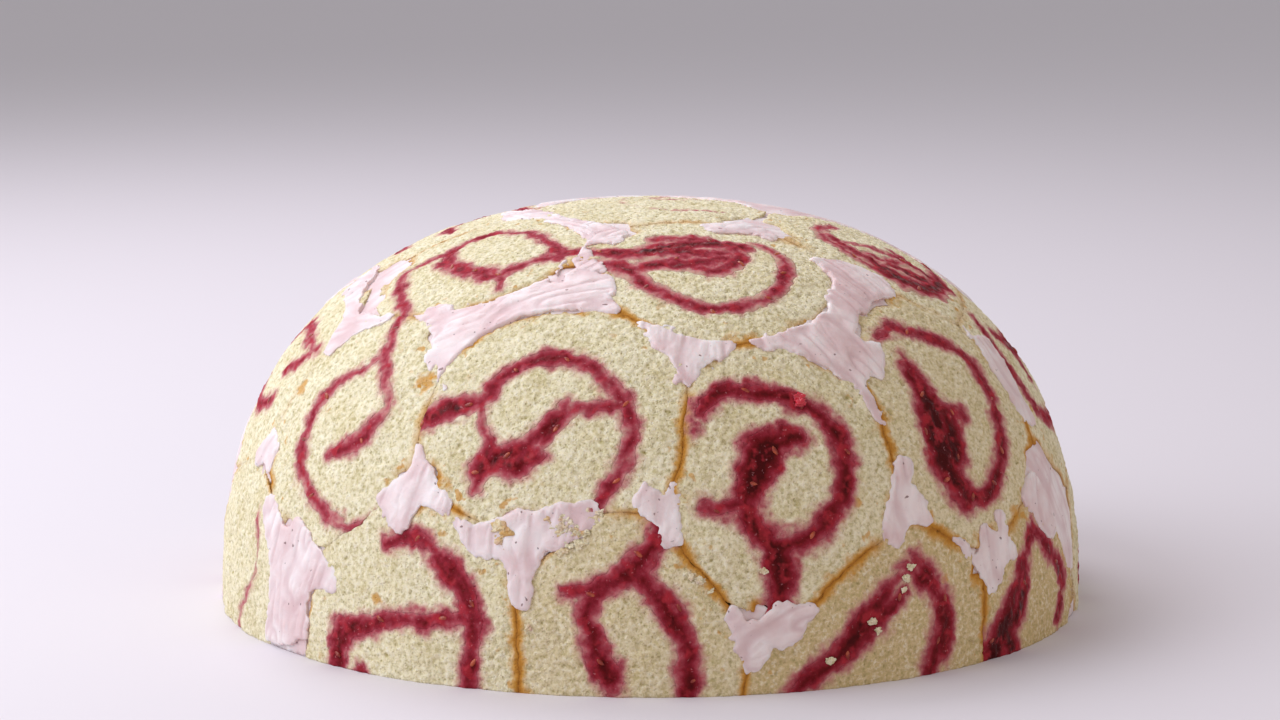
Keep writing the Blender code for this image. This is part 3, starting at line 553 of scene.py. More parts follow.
def from_stretch(points: Array, start: Array,
                 end: Array) -> tuple[Array, Array]:
    """How points on a plane lie to a straight stretch.

    Args:
        points: of shape (points, 2).
        start: of the stretch.
        end: of the stretch.

    Returns:
        Each point's distance from it, and how far along it the nearest place is, from 0 to 1.
    """
    along = end - start
    share = np.clip((points - start) @ along / (along @ along + 1e-9), 0, 1)
    return np.hypot(*(points - start - share[:, None] * along).T), share


def arm_distance(points: Array, arms: list[Array]) -> Array:
    """How far points lie outside the arms of a swirl.

    Args:
        points: points on the slice's plane, of shape (points, 2).
        arms: what smooth_arm gives for each arm.

    Returns:
        Distances, negative inside an arm.
    """
    nearest = np.full(len(points), np.inf)
    for arm in arms:
        for start, end in zip(arm, arm[1:]):
            apart, share = from_stretch(points, start[:2], end[:2])
            nearest = np.minimum(nearest, apart - start[2] - share * (end[2] - start[2]))
    return nearest


def outline_distance(points: Array, outline: Array) -> Array:
    """How far points lie outside a closed outline.

    Args:
        points: points on a plane, of shape (points, 2).
        outline: the outline's own points, in order.

    Returns:
        Distances, negative inside.
    """
    nearest = np.full(len(points), np.inf)
    inside = np.zeros(len(points), dtype=bool)
    for start, end in zip(outline, np.roll(outline, -1, axis=0)):
        nearest = np.minimum(nearest, from_stretch(points, start, end)[0])
        if start[1] != end[1]:
            level = (start[1] > points[:, 1]) != (end[1] > points[:, 1])
            slant = (end[0] - start[0]) / (end[1] - start[1])
            inside ^= level & (points[:, 0] < start[0] + (points[:, 1] - start[1]) * slant)
    return np.where(inside, -nearest, nearest)


def tree_of(places: Array) -> KDTree:
    """A search tree for the nearest of some places.

    Args:
        places: of shape (places, 3).

    Returns:
        The tree.
    """
    tree = KDTree(len(places))
    for number, place in enumerate(places):
        tree.insert(place, number)
    tree.balance()
    return tree


def smooth_outline(corners: tuple, steps: int) -> Array:
    """A smooth closed curve through corners.

    Args:
        corners: each (x, y), in order.
        steps: how many stretches it has between two corners.

    Returns:
        Its points, of shape (points, 2).
    """
    b = np.array(corners, dtype=float)
    a, c, d = (np.roll(b, shift, axis=0) for shift in (1, -1, -2))
    curves = [between(a, b, c, d, step / steps) for step in range(steps)]
    return np.stack(curves, axis=1).reshape(-1, 2)


@dataclass(frozen=True)
class Dome:
    """The cake's outer form, a dome with full shoulders on a flat base.

    Attributes:
        radius: of the base.
        height: of the top.
        fullness: power of the profile; 2 is an ellipse, and more has squarer shoulders.
    """

    radius: float = DOME_RADIUS
    height: float = DOME_HEIGHT
    fullness: float = DOME_FULLNESS

    def place(self, ways: Array, depth: Array | float) -> Array:
        """Places under the dome.

        Args:
            ways: unit directions from the middle of the base.
            depth: how far below the dome's surface each place lies.

        Returns:
            The places, of the same shape as ways.
        """
        across = np.hypot(ways[..., 0], ways[..., 1]) / self.radius
        along = np.abs(ways[..., 2]) / self.height
        reach = (across**self.fullness + along**self.fullness) ** (-1 / self.fullness)
        places = ways * (reach - depth)[..., None]
        places[..., 2] = np.maximum(places[..., 2], 0)
        return places


DOME = Dome()


@dataclass
class Seat:
    """Where a piece sits on the dome.

    Attributes:
        azimuth: of its middle, in degrees from the front.
        polar: angle of its middle from the top, in degrees.
    """

    azimuth: float
    polar: float

    def axes(self) -> Array:
        """The seat's own directions.

        Returns:
            Right, up and outward, as rows.
        """
        azimuth, polar = math.radians(self.azimuth), math.radians(self.polar)
        out = np.array([math.sin(polar) * math.sin(azimuth), -math.sin(polar) * math.cos(azimuth),
                        math.cos(polar)])
        right = np.array([math.cos(azimuth), math.sin(azimuth), 0.0])
        return np.stack([right, np.cross(out, right), out])

    def ways(self, points: Array) -> Array:
        """Lays points on the seat's plane round the dome.

        Args:
            points: of shape (points, 2).

        Returns:
            Their unit directions from the middle of the base.
        """
        arc = np.hypot(points[:, 0], points[:, 1]) / ARC_SCALE
        share = np.sinc(arc / np.pi) / ARC_SCALE
        flat = np.column_stack([points * share[:, None], np.cos(arc)])
        return flat @ self.axes()

    def points(self, ways: Array) -> Array:
        """Lays directions flat on the seat's plane, the reverse of ways.

        Args:
            ways: unit directions.

        Returns:
            Their points, of shape (points, 2).
        """
        right, up, out = (ways @ self.axes().T).T
        arc = np.arccos(np.clip(out, -1, 1))
        share = ARC_SCALE * arc / np.maximum(np.hypot(right, up), 1e-9)
        return np.stack([right * share, up * share], axis=1)

    def apart(self, places: Array) -> Array:
        """How far places on the dome lie from the middle of the seat."""
        return np.linalg.norm(places - self.axes()[2] * ARC_SCALE, axis=1)


@dataclass
class Sheet:
    """A flat sheet of triangles with values kept at its points.

    Attributes:
        points: of shape (points, 2).
        triangles: each three numbers of points, anticlockwise.
        values: named values, one for each point.
    """

    points: Array
    triangles: Array
    values: dict[str, Array] = field(default_factory=dict)

    @classmethod
    def lattice(cls, radius: float, step: float, seed: int) -> "Sheet":
        """A round sheet of even triangles, each point moved a little at random.

        Args:
            radius: of the sheet.
            step: distance between points.
            seed: of the random moves.

        Returns:
            The sheet.
        """
        rows = math.ceil(radius / (step * math.sqrt(3) / 2)) + 1
        columns = math.ceil(radius / step) + 1
        down, across = np.mgrid[-rows:rows + 1, -columns:columns + 1]
        x = (across + (down % 2) / 2) * step
        y = down * step * math.sqrt(3) / 2
        points = np.stack([x.ravel(), y.ravel()], axis=1)
        number = np.arange(points.shape[0]).reshape(x.shape)
        a, b = number[:-1, :-1].ravel(), number[:-1, 1:].ravel()
        c, d = number[1:, :-1].ravel(), number[1:, 1:].ravel()
        leaning = (down[:-1, :-1] % 2).ravel().astype(bool)
        first = np.where(leaning[:, None], np.stack([a, b, d], 1), np.stack([a, b, c], 1))
        second = np.where(leaning[:, None], np.stack([a, d, c], 1), np.stack([b, d, c], 1))
        triangles = np.vstack([first, second])
        near = np.hypot(*points.T) < radius
        points += np.random.default_rng(seed).uniform(-0.16, 0.16, points.shape) * step
        return cls(points, triangles).kept(triangles[near[triangles].all(axis=1)])

    def kept(self, triangles: Array) -> "Sheet":
        """The sheet with only some triangles, and the points that they need.

        Args:
            triangles: those to keep.

        Returns:
            The smaller sheet.
        """
        used, numbers = np.unique(triangles, return_inverse=True)
        values = {name: value[used] for name, value in self.values.items()}
        return Sheet(self.points[used], numbers.reshape(-1, 3), values)

    def edges(self) -> tuple[Array, Array, Array]:
        """The sheet's edges.

        Returns:
            Each edge's two points, the three edges of each triangle (the first one from its first
            point to its second), and how many triangles use each edge.
        """
        starts, ends = self.triangles, np.roll(self.triangles, -1, axis=1)
        keys = np.minimum(starts, ends) * len(self.points) + np.maximum(starts, ends)
        unique, which, uses = np.unique(keys, return_inverse=True, return_counts=True)
        return np.stack(np.divmod(unique, len(self.points)), axis=1), which.reshape(-1, 3), uses

    def blend(self, starts: Array, ends: Array, share: Array,
              name: str) -> tuple[Array, dict[str, Array]]:
        """Points on edges where a value is zero, with their values.

        Args:
            starts: the first point of each edge.
            ends: the second one.
            share: how far along each edge.
            name: of the value that becomes zero.

        Returns:
            The points, and the values at them.
        """
        points = self.points[starts] + share[:, None] * (self.points[ends] - self.points[starts])
        values = {key: value[starts] + share * (value[ends] - value[starts])
                  for key, value in self.values.items()}
        values[name] = np.zeros(len(starts))
        return points, values

    def snapped(self, name: str, limit: float = 0.28) -> "Sheet":
        """The sheet with the points that lie close to a value's zero line moved onto it.

        Args:
            name: of the value.
            limit: how close, as a share of an edge.

        Returns:
            The sheet, with the same triangles.
        """
        ends, _, uses = self.edges()
        value = self.values[name]
        a, b = ends.T
        crossed = value[a] * value[b] < 0
        share = np.where(crossed, value[a] / np.where(crossed, value[a] - value[b], 1), 0.5)
        fixed = np.zeros(len(self.points), dtype=bool)
        fixed[ends[uses == 1]] = True
        moves = []
        for start, end, part in ((a, b, share), (b, a, 1 - share)):
            near = crossed & (part < limit) & (~fixed[start] | (uses == 1))
            moves.append((start[near], end[near], part[near]))
        starts, others, parts = (np.concatenate(column) for column in zip(*moves))
        order = np.argsort(-parts, kind="stable")
        starts, others, parts = starts[order], others[order], parts[order]
        points, values = self.blend(starts, others, parts, name)
        moved = Sheet(self.points.copy(), self.triangles,
                      {key: old.copy() for key, old in self.values.items()})
        moved.points[starts] = points
        for key, new in values.items():
            moved.values[key][starts] = new
        return moved

    def cut(self, name: str) -> tuple["Sheet", "Sheet"]:
        """Cuts the sheet along the line where one of its values is zero.

        Args:
            name: of the value.

        Returns:
            The part where the value is negative, and the part where it is positive.
        """
        sheet = self.snapped(name)
        ends, which, _ = sheet.edges()
        value = sheet.values[name]
        a, b = ends.T
        crossed = value[a] * value[b] < 0
        share = value[a[crossed]] / (value[a[crossed]] - value[b[crossed]])
        points, values = sheet.blend(a[crossed], b[crossed], share, name)
        number = np.full(len(ends), -1)
        number[crossed] = len(sheet.points) + np.arange(len(points))
        whole = Sheet(np.vstack([sheet.points, points]), sheet.triangles,
                      {key: np.concatenate([old, values[key]])
                       for key, old in sheet.values.items()})
        sign = np.sign(value)[sheet.triangles]
        cuts = crossed[which]
        count = cuts.sum(axis=1)
        rows = np.arange(len(which))
        parts = [(sheet.triangles[count == 0], sign.sum(axis=1)[count == 0])]

        once = rows[count == 1]
        turn = np.argmax(cuts[once], axis=1)
        i, j, k = (sheet.triangles[once, (turn + step) % 3] for step in range(3))
        middle = number[which[once, turn]]
        parts.append((np.stack([i, middle, k], 1), np.sign(value)[i]))
        parts.append((np.stack([middle, j, k], 1), np.sign(value)[j]))

        twice = rows[count == 2]
        turn = np.argmin(cuts[twice], axis=1)
        i, j, k = (sheet.triangles[twice, (turn + step) % 3] for step in range(3))
        first, second = (number[which[twice, (turn + step) % 3]] for step in (1, 2))
        parts.append((np.stack([first, k, second], 1), np.sign(value)[k]))
        parts.append((np.stack([i, j, first], 1), np.sign(value)[i]))
        parts.append((np.stack([i, first, second], 1), np.sign(value)[i]))

        triangles, signs = (np.concatenate(column) for column in zip(*parts))
        return whole.kept(triangles[signs <= 0]), whole.kept(triangles[signs > 0])

    def open_edges(self) -> Array:
        """The edges round the sheet.

        Returns:
            Each edge's two points, with the sheet on its left.
        """
        starts, ends = self.triangles.ravel(), np.roll(self.triangles, -1, axis=1).ravel()
        keys = starts * len(self.points) + ends
        facing = ends * len(self.points) + starts
        return np.stack([starts, ends], axis=1)[~np.isin(keys, facing)]

    def loops(self) -> list[list[int]]:
        """The open edges as closed loops.

        Returns:
            Each loop's points, in order.
        """
        following: dict[int, list[int]] = {}
        for start, end in self.open_edges().tolist():
            following.setdefault(start, []).append(end)
        loops = []
        while following:
            loop = [next(iter(following))]
            while len(loop) == 1 or loop[-1] != loop[0]:
                place = loop[-1]
                loop.append(following[place].pop())
                if not following[place]:
                    del following[place]
            loops.append(loop[:-1])
        return loops

    def solid(self, front: Array, back: Array) -> tuple[Array, Array, Array]:
        """Closes the sheet to a solid with a front, walls and a back.

        Args:
            front: the place of each point on the front.
            back: the place of each point on the back, used round the edges only.

        Returns:
            The places, the triangles with those of the front first, and for each place the number
            of the sheet's point that it belongs to.
        """
        edges = self.open_edges()
        rim = np.unique(edges)
        behind = np.full(len(self.points), -1)
        behind[rim] = len(self.points) + np.arange(len(rim))
        a, b = edges.T
        walls = np.vstack([np.stack([b, a, behind[a]], 1), np.stack([b, behind[a], behind[b]], 1)])
        loops = self.loops()
        flat = [number for loop in loops for number in loop]
        outlines = [[(*self.points[number], 0.0) for number in loop] for loop in loops]
        cap = np.array([[flat[corner] for corner in face] for face in tessellate_polygon(outlines)])
        (ax, ay), (bx, by), (cx, cy) = (self.points[cap[:, k]].T for k in range(3))
        outward = (bx - ax) * (cy - ay) - (by - ay) * (cx - ax) > 0
        cap[outward] = cap[outward][:, ::-1]
        places = np.vstack([front, back[rim]])
        owner = np.concatenate([np.arange(len(self.points)), rim])
        return places, np.vstack([self.triangles, walls, behind[cap]]), owner


def add_piece(name: str, places: Array, triangles: Array, smooth: Array,
              material: Material, values: dict[str, Array]) -> Object:
    """Makes a piece of the cake from triangles.

    Args:
        name: of the piece.
        places: its points in mm.
        triangles: each three numbers of points.
        smooth: whether each triangle is shaded smooth.
        material: its finish.
        values: named values for the finish, one for each point.

    Returns:
        The object, riding on the cake's body.
    """
    mesh = bpy.data.meshes.new(name)
    mesh.vertices.add(len(places))
    mesh.vertices.foreach_set("co", (places * MM).astype(np.float32).ravel())
    mesh.loops.add(3 * len(triangles))
    mesh.loops.foreach_set("vertex_index", triangles.astype(np.int32).ravel())
    mesh.polygons.add(len(triangles))
    mesh.polygons.foreach_set("loop_start", np.arange(0, 3 * len(triangles), 3, dtype=np.int32))
    mesh.polygons.foreach_set("loop_total", np.full(len(triangles), 3, dtype=np.int32))
    mesh.update(calc_edges=True)
    mesh.polygons.foreach_set("use_smooth", smooth)
    for key, value in values.items():
        layer = mesh.attributes.new(key, "FLOAT", "POINT")
        layer.data.foreach_set("value", value.astype(np.float32))
    mesh.materials.append(material)
    piece = bpy.data.objects.new(name, mesh)
    bpy.context.scene.collection.objects.link(piece)
    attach(piece, BODY)
    LOG.info("%s: %d triangles", name, len(triangles))
    return piece


def add_solid(name: str, sheet: Sheet, front: Array, back: Array,
              material: Material, kept: tuple[str, ...]) -> Object:
    """Makes a piece of the cake from a sheet, smooth in front and flat behind.

    Args:
        name: of the piece.
        sheet: its flat form.
        front: the place of each of the sheet's points on the front.
        back: the place of each on the back.
        material: its finish.
        kept: the names of the sheet's values that the finish reads.

    Returns:
        The object.
    """
    places, triangles, owner = sheet.solid(front, back)
    smooth = np.arange(len(triangles)) < len(sheet.triangles)
    values = {key: sheet.values[key][owner] for key in kept}
    return add_piece(name, places, triangles, smooth, material, values)


@dataclass(frozen=True)
class JamStain:
    """The colour of jam from its thick middle out to the crumb that has drunk from it.

    The middle is a deep maroon, lit to crimson where the pulp is loose. Towards the crumb it turns
    a duller red and then a brownish pink, which fades out softly and unevenly.

    Attributes:
        stops: distances from the jam's edge in mm, negative inside it, each with its colour.
        fade: where the stain starts to give way to the crumb, and where it ends.
        wander: the wide changes of the edge and the fine ones, each (size, reach) in mm.
        pulp: colour of loose pulp.
        pulp_size: size of a lump of it.
        pulp_share: how strongly it shows.
    """

    stops: tuple = ((-2.8, "#470609"), (-1.9, "#6B0F16"), (-1.0, "#8A2230"), (-0.2, "#A44550"),
                    (0.7, "#BB7475"), (1.9, "#CBA090"))
    fade: tuple[float, float] = (0.0, 2.6)
    wander: tuple = ((5.0, 4.2), (0.9, 1.3))
    pulp: str = "#AD2D38"
    pulp_size: float = 2.6
    pulp_share: float = 0.75

    def over(self, tree: NodeTree, place: NodeSocket,
             crumb: object) -> tuple[NodeSocket, NodeSocket]:
        """Stains a crumb.

        Args:
            tree: the material's node tree.
            place: the place in the cake.
            crumb: the crumb's own colour, or the socket that gives it.

        Returns:
            The stained colour, and the distance from the jam in mm that it was drawn for.
        """
        distance = add_node(tree, "Attribute", attribute_name="jam").outputs["Fac"]
        for size, reach in self.wander:
            uneven = add_node(tree, "TexNoise", {
                "Vector": place, "Scale": per_mm(size), "Detail": 2.0})
            centred = add_node(tree, "Math", {0: uneven, 1: 0.5}, operation="SUBTRACT")
            distance = add_node(tree, "Math", {
                0: centred, 1: reach, 2: distance},
                operation="MULTIPLY_ADD").outputs["Value"]
        first, last = self.stops[0][0], self.stops[-1][0]
        along = add_node(tree, "MapRange", {"Value": distance, "From Min": first, "From Max": last})
        ramp = add_node(tree, "ValToRGB", {"Fac": along})
        elements = ramp.color_ramp.elements
        elements.remove(elements[1])
        elements[0].color = linear(self.stops[0][1])
        for at, colour in self.stops[1:]:
            elements.new((at - first) / (last - first)).color = linear(colour)
        lumps = add_node(tree, "TexNoise", {
            "Vector": place, "Scale": per_mm(self.pulp_size), "Detail": 2.0})
        loose = add_node(tree, "MapRange", {
            "Value": lumps, "From Min": 0.52, "From Max": 0.68, "To Max": self.pulp_share})
        inside = add_node(tree, "MapRange", {
            "Value": distance, "From Min": -0.4, "From Max": 0.6, "To Min": 1.0, "To Max": 0.0})
        share = add_node(tree, "Math", {0: loose, 1: inside}, operation="MULTIPLY")
        pulpy = add_node(tree, "Mix", {
            MIX_SHARE: share, MIX_FIRST: ramp.outputs["Color"], MIX_SECOND: linear(self.pulp)},
            data_type="RGBA")
        fading = add_node(tree, "MapRange", {
            "Value": distance, "From Min": self.fade[0], "From Max": self.fade[1], "To Min": 1.0,
            "To Max": 0.0}, interpolation_type="SMOOTHSTEP")
        stained = add_node(tree, "Mix", {
            MIX_SHARE: fading, MIX_FIRST: crumb, MIX_SECOND: pulpy.outputs[MIX_RESULT]},
            data_type="RGBA")
        return stained.outputs[MIX_RESULT], distance


@dataclass(frozen=True)
class WhiskedSponge:
    """Fatless sponge, whisked, baked in a thin sheet, rolled and cut across with a knife.

    The cut shows an open, fluffy, matt crumb: cream, with painted highlights on its lumps and a fine
    grey-green painted shade in its bubbles, baked golden towards its rim, and stained where it has
    drunk from the jam.

    Attributes:
        crumb: the palest and the commonest tone.
        shade: the duller tone that it varies to.
        browner_crumb_tone: the browner tone of some slices.
        grain: the painted highlight on the lumps.
        hollow: the painted shade in the bubbles and between the lumps.
        golden: of the baked skin.
        brown: of the skin where it is darkest, right at the rim.
        grain_size: the crumb's grain; bubbles are 0.2 mm and up, drawn coarser so that they show.
        bubble_size: the same of the round bubbles.
        tone_size: size of the changes of tone.
        patch_size: length of a patch of skin.
        scrap_size: size of a loose scrap of skin.
        skin_width: of the skin at a free rim, and where a neighbour touches.
        scorch: how brown the rim is.
        stain: what the jam does to the crumb.
    """

    crumb: str = "#E7DDBC"
    shade: str = "#DCCFA7"
    browner_crumb_tone: str = "#CFB584"
    grain: str = "#F4EDD8"
    hollow: str = "#A89A62"
    golden: str = "#C99039"
    brown: str = "#AA6D27"
    grain_size: float = 1.0
    bubble_size: float = 0.8
    tone_size: float = 7.0
    patch_size: float = 7.0
    scrap_size: float = 3.2
    skin_width: tuple[float, float] = (2.0, 2.8)
    scorch: float = 0.8
    stain: JamStain = JamStain()

    def material(self) -> Material:
        """Builds the finish.

        Returns:
            The material.
        """
        material, tree, shader = new_material("whisked_sponge_cut")
        place = add_node(tree, "TexCoord").outputs["Object"]
        grain = add_node(tree, "TexNoise", {
            "Vector": place, "Scale": per_mm(self.grain_size), "Detail": 3.0, "Roughness": 0.65})
        bubbles = add_node(tree, "TexVoronoi", {
            "Vector": place, "Scale": per_mm(self.bubble_size), "Randomness": 1.0})
        crumb = self.crumb_colour(tree, place, grain, bubbles)
        stained, _ = self.stain.over(tree, place, self.baked_colour(tree, place, crumb))
        wall = add_node(tree, "MapRange", {
            "Value": bubbles, "From Min": 0.0, "From Max": 0.42}, interpolation_type="SMOOTHSTEP")
        height = add_node(tree, "Math", {0: wall, 1: 0.6, 2: grain}, operation="MULTIPLY_ADD")
        bump = add_node(tree, "Bump", {"Height": height, "Strength": 1.0, "Distance": 0.3 * MM})
        feed(tree, shader, {
            "Base Color": stained, "Normal": bump, "Roughness": 0.9, "Specular IOR Level": 0.2,
            "Subsurface Weight": 0.15, "Subsurface Radius": (1.0, 0.8, 0.5),
            "Subsurface Scale": 0.8 * MM})
        return material

    def crumb_colour(self, tree: NodeTree, place: NodeSocket,
                     grain: Node, bubbles: Node) -> NodeSocket:
        """The crumb, with painted highlights on its lumps and painted shade in its bubbles.

        Args:
            tree: the material's node tree.
            place: the place in the cake.
            grain: the fine grain.
            bubbles: the small bubbles.

        Returns:
            The colour.
        """
        pore, brown_share = (add_node(tree, "Attribute", attribute_name=name).outputs["Fac"]
                       for name in ("pore", "brown_share"))
        tone = add_node(tree, "TexNoise", {
            "Vector": place, "Scale": per_mm(self.tone_size), "Detail": 3.0})
        toned = add_node(tree, "MapRange", {"Value": tone, "From Min": 0.4, "From Max": 0.7})
        # painted highlight: the crumb is paler where the grain is high, on the lumps that the bump
        # raises
        high = add_node(tree, "MapRange", {
            "Value": grain, "From Min": 0.52, "From Max": 0.68, "To Max": 0.6})
        # painted shade: the crumb is darker in the low grain between the lumps, in the pits of the bump
        # and in the bubbles of the relief
        shade_between_lumps = add_node(tree, "MapRange", {
            "Value": grain, "From Min": 0.51, "From Max": 0.34, "To Max": 0.6})
        shade_in_pits = add_node(tree, "MapRange", {
            "Value": bubbles, "From Min": 0.35, "From Max": 0.1, "To Max": 0.14})
        lowest = add_node(tree, "Math", {0: shade_between_lumps, 1: shade_in_pits}, operation="ADD")
        deep = add_node(tree, "Math", {
            0: pore, 1: 0.5, 2: lowest}, operation="MULTIPLY_ADD", use_clamp=True)
        colour = linear(self.crumb)
        for share, over in ((toned, self.shade), (brown_share, self.browner_crumb_tone), (high, self.grain),
                            (deep, self.hollow)):
            colour = add_node(tree, "Mix", {
                MIX_SHARE: share, MIX_FIRST: colour, MIX_SECOND: linear(over)},
                data_type="RGBA").outputs[MIX_RESULT]
        return colour

    def baked_colour(self, tree: NodeTree, place: NodeSocket, crumb: NodeSocket) -> NodeSocket:
        """The crumb with the golden skin round its rim, and scraps of it smeared near by.

        Args:
            tree: the material's node tree.
            place: the place in the cake.
            crumb: the colour without the skin.

        Returns:
            The colour.
        """
        rim, touch, skin, stuck = (
            add_node(tree, "Attribute", attribute_name=name).outputs["Fac"]
            for name in ("rim", "touch", "skin", "scrap"))
        patchy = add_node(tree, "TexNoise", {
            "Vector": place, "Scale": per_mm(self.patch_size), "Detail": 5.0, "Roughness": 0.75})
        width = add_node(tree, "MapRange", {
            "Value": touch, "To Min": self.skin_width[0], "To Max": self.skin_width[1]})
        unevenness = add_node(tree, "MapRange", {
            "Value": patchy, "From Min": 0.36, "From Max": 0.62, "To Min": 2.4, "To Max": 0.8})
        across = add_node(tree, "Math", {0: rim, 1: width}, operation="DIVIDE")
        uneven = add_node(tree, "Math", {0: across, 1: unevenness}, operation="MULTIPLY")
        baking = add_node(tree, "MapRange", {
            "Value": uneven, "From Min": 0.15, "From Max": 1.3, "To Min": skin, "To Max": 0.0},
            interpolation_type="SMOOTHSTEP")
        darkest = add_node(tree, "Math", {0: skin, 1: self.scorch}, operation="MULTIPLY")
        browning = add_node(tree, "MapRange", {
            "Value": uneven, "From Min": 0.0, "From Max": 0.5, "To Min": darkest, "To Max": 0.0},
            interpolation_type="SMOOTHSTEP")
        scraps = add_node(tree, "TexNoise", {
            "Vector": place, "Scale": per_mm(self.scrap_size), "Detail": 2.0})
        loose = add_node(tree, "MapRange", {
            "Value": scraps, "From Min": 0.66, "From Max": 0.73, "To Max": 0.75},
            interpolation_type="SMOOTHSTEP")
        close = add_node(tree, "MapRange", {
            "Value": rim, "From Min": 2.5, "From Max": 8.0, "To Min": 1.0, "To Max": 0.0})
        strong = add_node(tree, "Math", {0: stuck, 1: 0.8}, operation="MULTIPLY")
        scrappy = add_node(tree, "Math", {
            0: loose, 1: close, 2: strong}, operation="MULTIPLY_ADD", use_clamp=True)
        colour = crumb
        for share, over in ((baking, self.golden), (browning, self.brown),
                            (scrappy, self.golden)):
            colour = add_node(tree, "Mix", {
                MIX_SHARE: share, MIX_FIRST: colour, MIX_SECOND: linear(over)},
                data_type="RGBA").outputs[MIX_RESULT]
        return colour


@dataclass(frozen=True)
class RaspberryJam:
    """Raspberry jam, boiled with its pulp and seeds, spread and rolled up in the sponge.

    It is deep crimson, wet and lumpy where it is thick, and duller, matt and crumbly at its edges,
    where the sponge has drunk from it.

    Attributes:
        crumb: of the crumb that is mixed in at its edges.
        grit_and_glint: of the pale specks in it, partly granules and partly painted glints on its wet
            lumps.
        grit_and_glint_size: of the specks; the granules are finer than this, and drawn coarser, so that
            they show.
        flesh_size: of its lumps.
        stain: its own colours.
    """

    crumb: str = "#C7A08E"
    grit_and_glint: str = "#CC8A90"
    grit_and_glint_size: float = 0.8
    flesh_size: float = 1.3
    stain: JamStain = JamStain()

    def material(self) -> Material:
        """Builds the finish.

        Returns:
            The material.
        """
        material, tree, shader = new_material("raspberry_jam_cut")
        place = add_node(tree, "TexCoord").outputs["Object"]
        stained, distance = self.stain.over(tree, place, linear(self.crumb))
        # pale specks: partly granules in the jam and partly painted glints on its wet lumps
        grit_and_glint_noise = add_node(tree, "TexNoise", {
            "Vector": place, "Scale": per_mm(self.grit_and_glint_size), "Detail": 2.0})
        grit_and_glint = add_node(tree, "MapRange", {
            "Value": grit_and_glint_noise, "From Min": 0.66, "From Max": 0.74, "To Max": 0.4})
        coloured = add_node(tree, "Mix", {
            MIX_SHARE: grit_and_glint, MIX_FIRST: stained, MIX_SECOND: linear(self.grit_and_glint)}, data_type="RGBA")
        wet = add_node(tree, "MapRange", {
            "Value": distance, "From Min": -2.2, "From Max": -0.6, "To Min": 0.3, "To Max": 0.9})
        lumps = add_node(tree, "TexNoise", {
            "Vector": place, "Scale": per_mm(self.flesh_size), "Detail": 3.0, "Roughness": 0.6})
        bump = add_node(tree, "Bump", {"Height": lumps, "Strength": 0.8, "Distance": 0.4 * MM})
        feed(tree, shader, {
            "Base Color": coloured.outputs[MIX_RESULT], "Normal": bump, "Roughness": wet,
            "IOR": 1.4, "Specular IOR Level": 0.12, "Subsurface Weight": 0.15,
            "Subsurface Radius": (1.0, 0.25, 0.2), "Subsurface Scale": 1.2 * MM})
        return material


@dataclass(frozen=True)
class RaspberryMousse:
    """Whipped raspberry mousse, set with gelatine in a lined bowl and turned out.

    It is a pale, warm pink with a soft, slightly moist sheen. The lining film has left it creased,
    with painted shade that makes the creases a deeper pink, and it holds a few dark specks of fruit.

    Attributes:
        cream: its palest tone.
        blush: its pinker tone.
        crease_shade: the painted shade in its creases.
        speck: of the specks.
        blush_size: size of the changes of tone.
        speck_size: distance between specks' likely places.
        froth_size: of its finest roughness; the froth is finer, and drawn coarser, so that it shows.
    """

    cream: str = "#EFE3E1"
    blush: str = "#DEC3C2"
    crease_shade: str = "#BE8D90"
    speck: str = "#6E4A48"
    blush_size: float = 9.0
    speck_size: float = 1.1
    froth_size: float = 0.9

    def material(self) -> Material:
        """Builds the finish.

        Returns:
            The material.
        """
        material, tree, shader = new_material("raspberry_mousse_set")
        place = add_node(tree, "TexCoord").outputs["Object"]
        crease = add_node(tree, "Attribute", attribute_name="crease").outputs["Fac"]
        tone = add_node(tree, "TexNoise", {
            "Vector": place, "Scale": per_mm(self.blush_size), "Detail": 3.0})
        toned = add_node(tree, "MapRange", {"Value": tone, "From Min": 0.35, "From Max": 0.65})
        # painted shade: the creases are a deeper pink
        crease_shading = add_node(tree, "MapRange", {
            "Value": crease, "From Min": 0.2, "From Max": 1.0, "To Max": 0.32})
        spots = add_node(tree, "TexNoise", {
            "Vector": place, "Scale": per_mm(self.speck_size), "Detail": 0.0})
        spotting = add_node(tree, "MapRange", {
            "Value": spots, "From Min": 0.80, "From Max": 0.84, "To Max": 0.8})
        colour = linear(self.cream)
        for share, over in ((toned, self.blush), (crease_shading, self.crease_shade), (spotting, self.speck)):
            colour = add_node(tree, "Mix", {
                MIX_SHARE: share, MIX_FIRST: colour,
                MIX_SECOND: linear(over)}, data_type="RGBA").outputs[MIX_RESULT]
        froth = add_node(tree, "TexNoise", {
            "Vector": place, "Scale": per_mm(self.froth_size), "Detail": 4.0, "Roughness": 0.6})
        bump = add_node(tree, "Bump", {"Height": froth, "Strength": 0.35, "Distance": 0.3 * MM})
        feed(tree, shader, {
            "Base Color": colour, "Normal": bump, "Roughness": 0.5, "Subsurface Weight": 0.3,
            "Subsurface Radius": (1.0, 0.6, 0.5), "Subsurface Scale": 2.0 * MM})
        return material


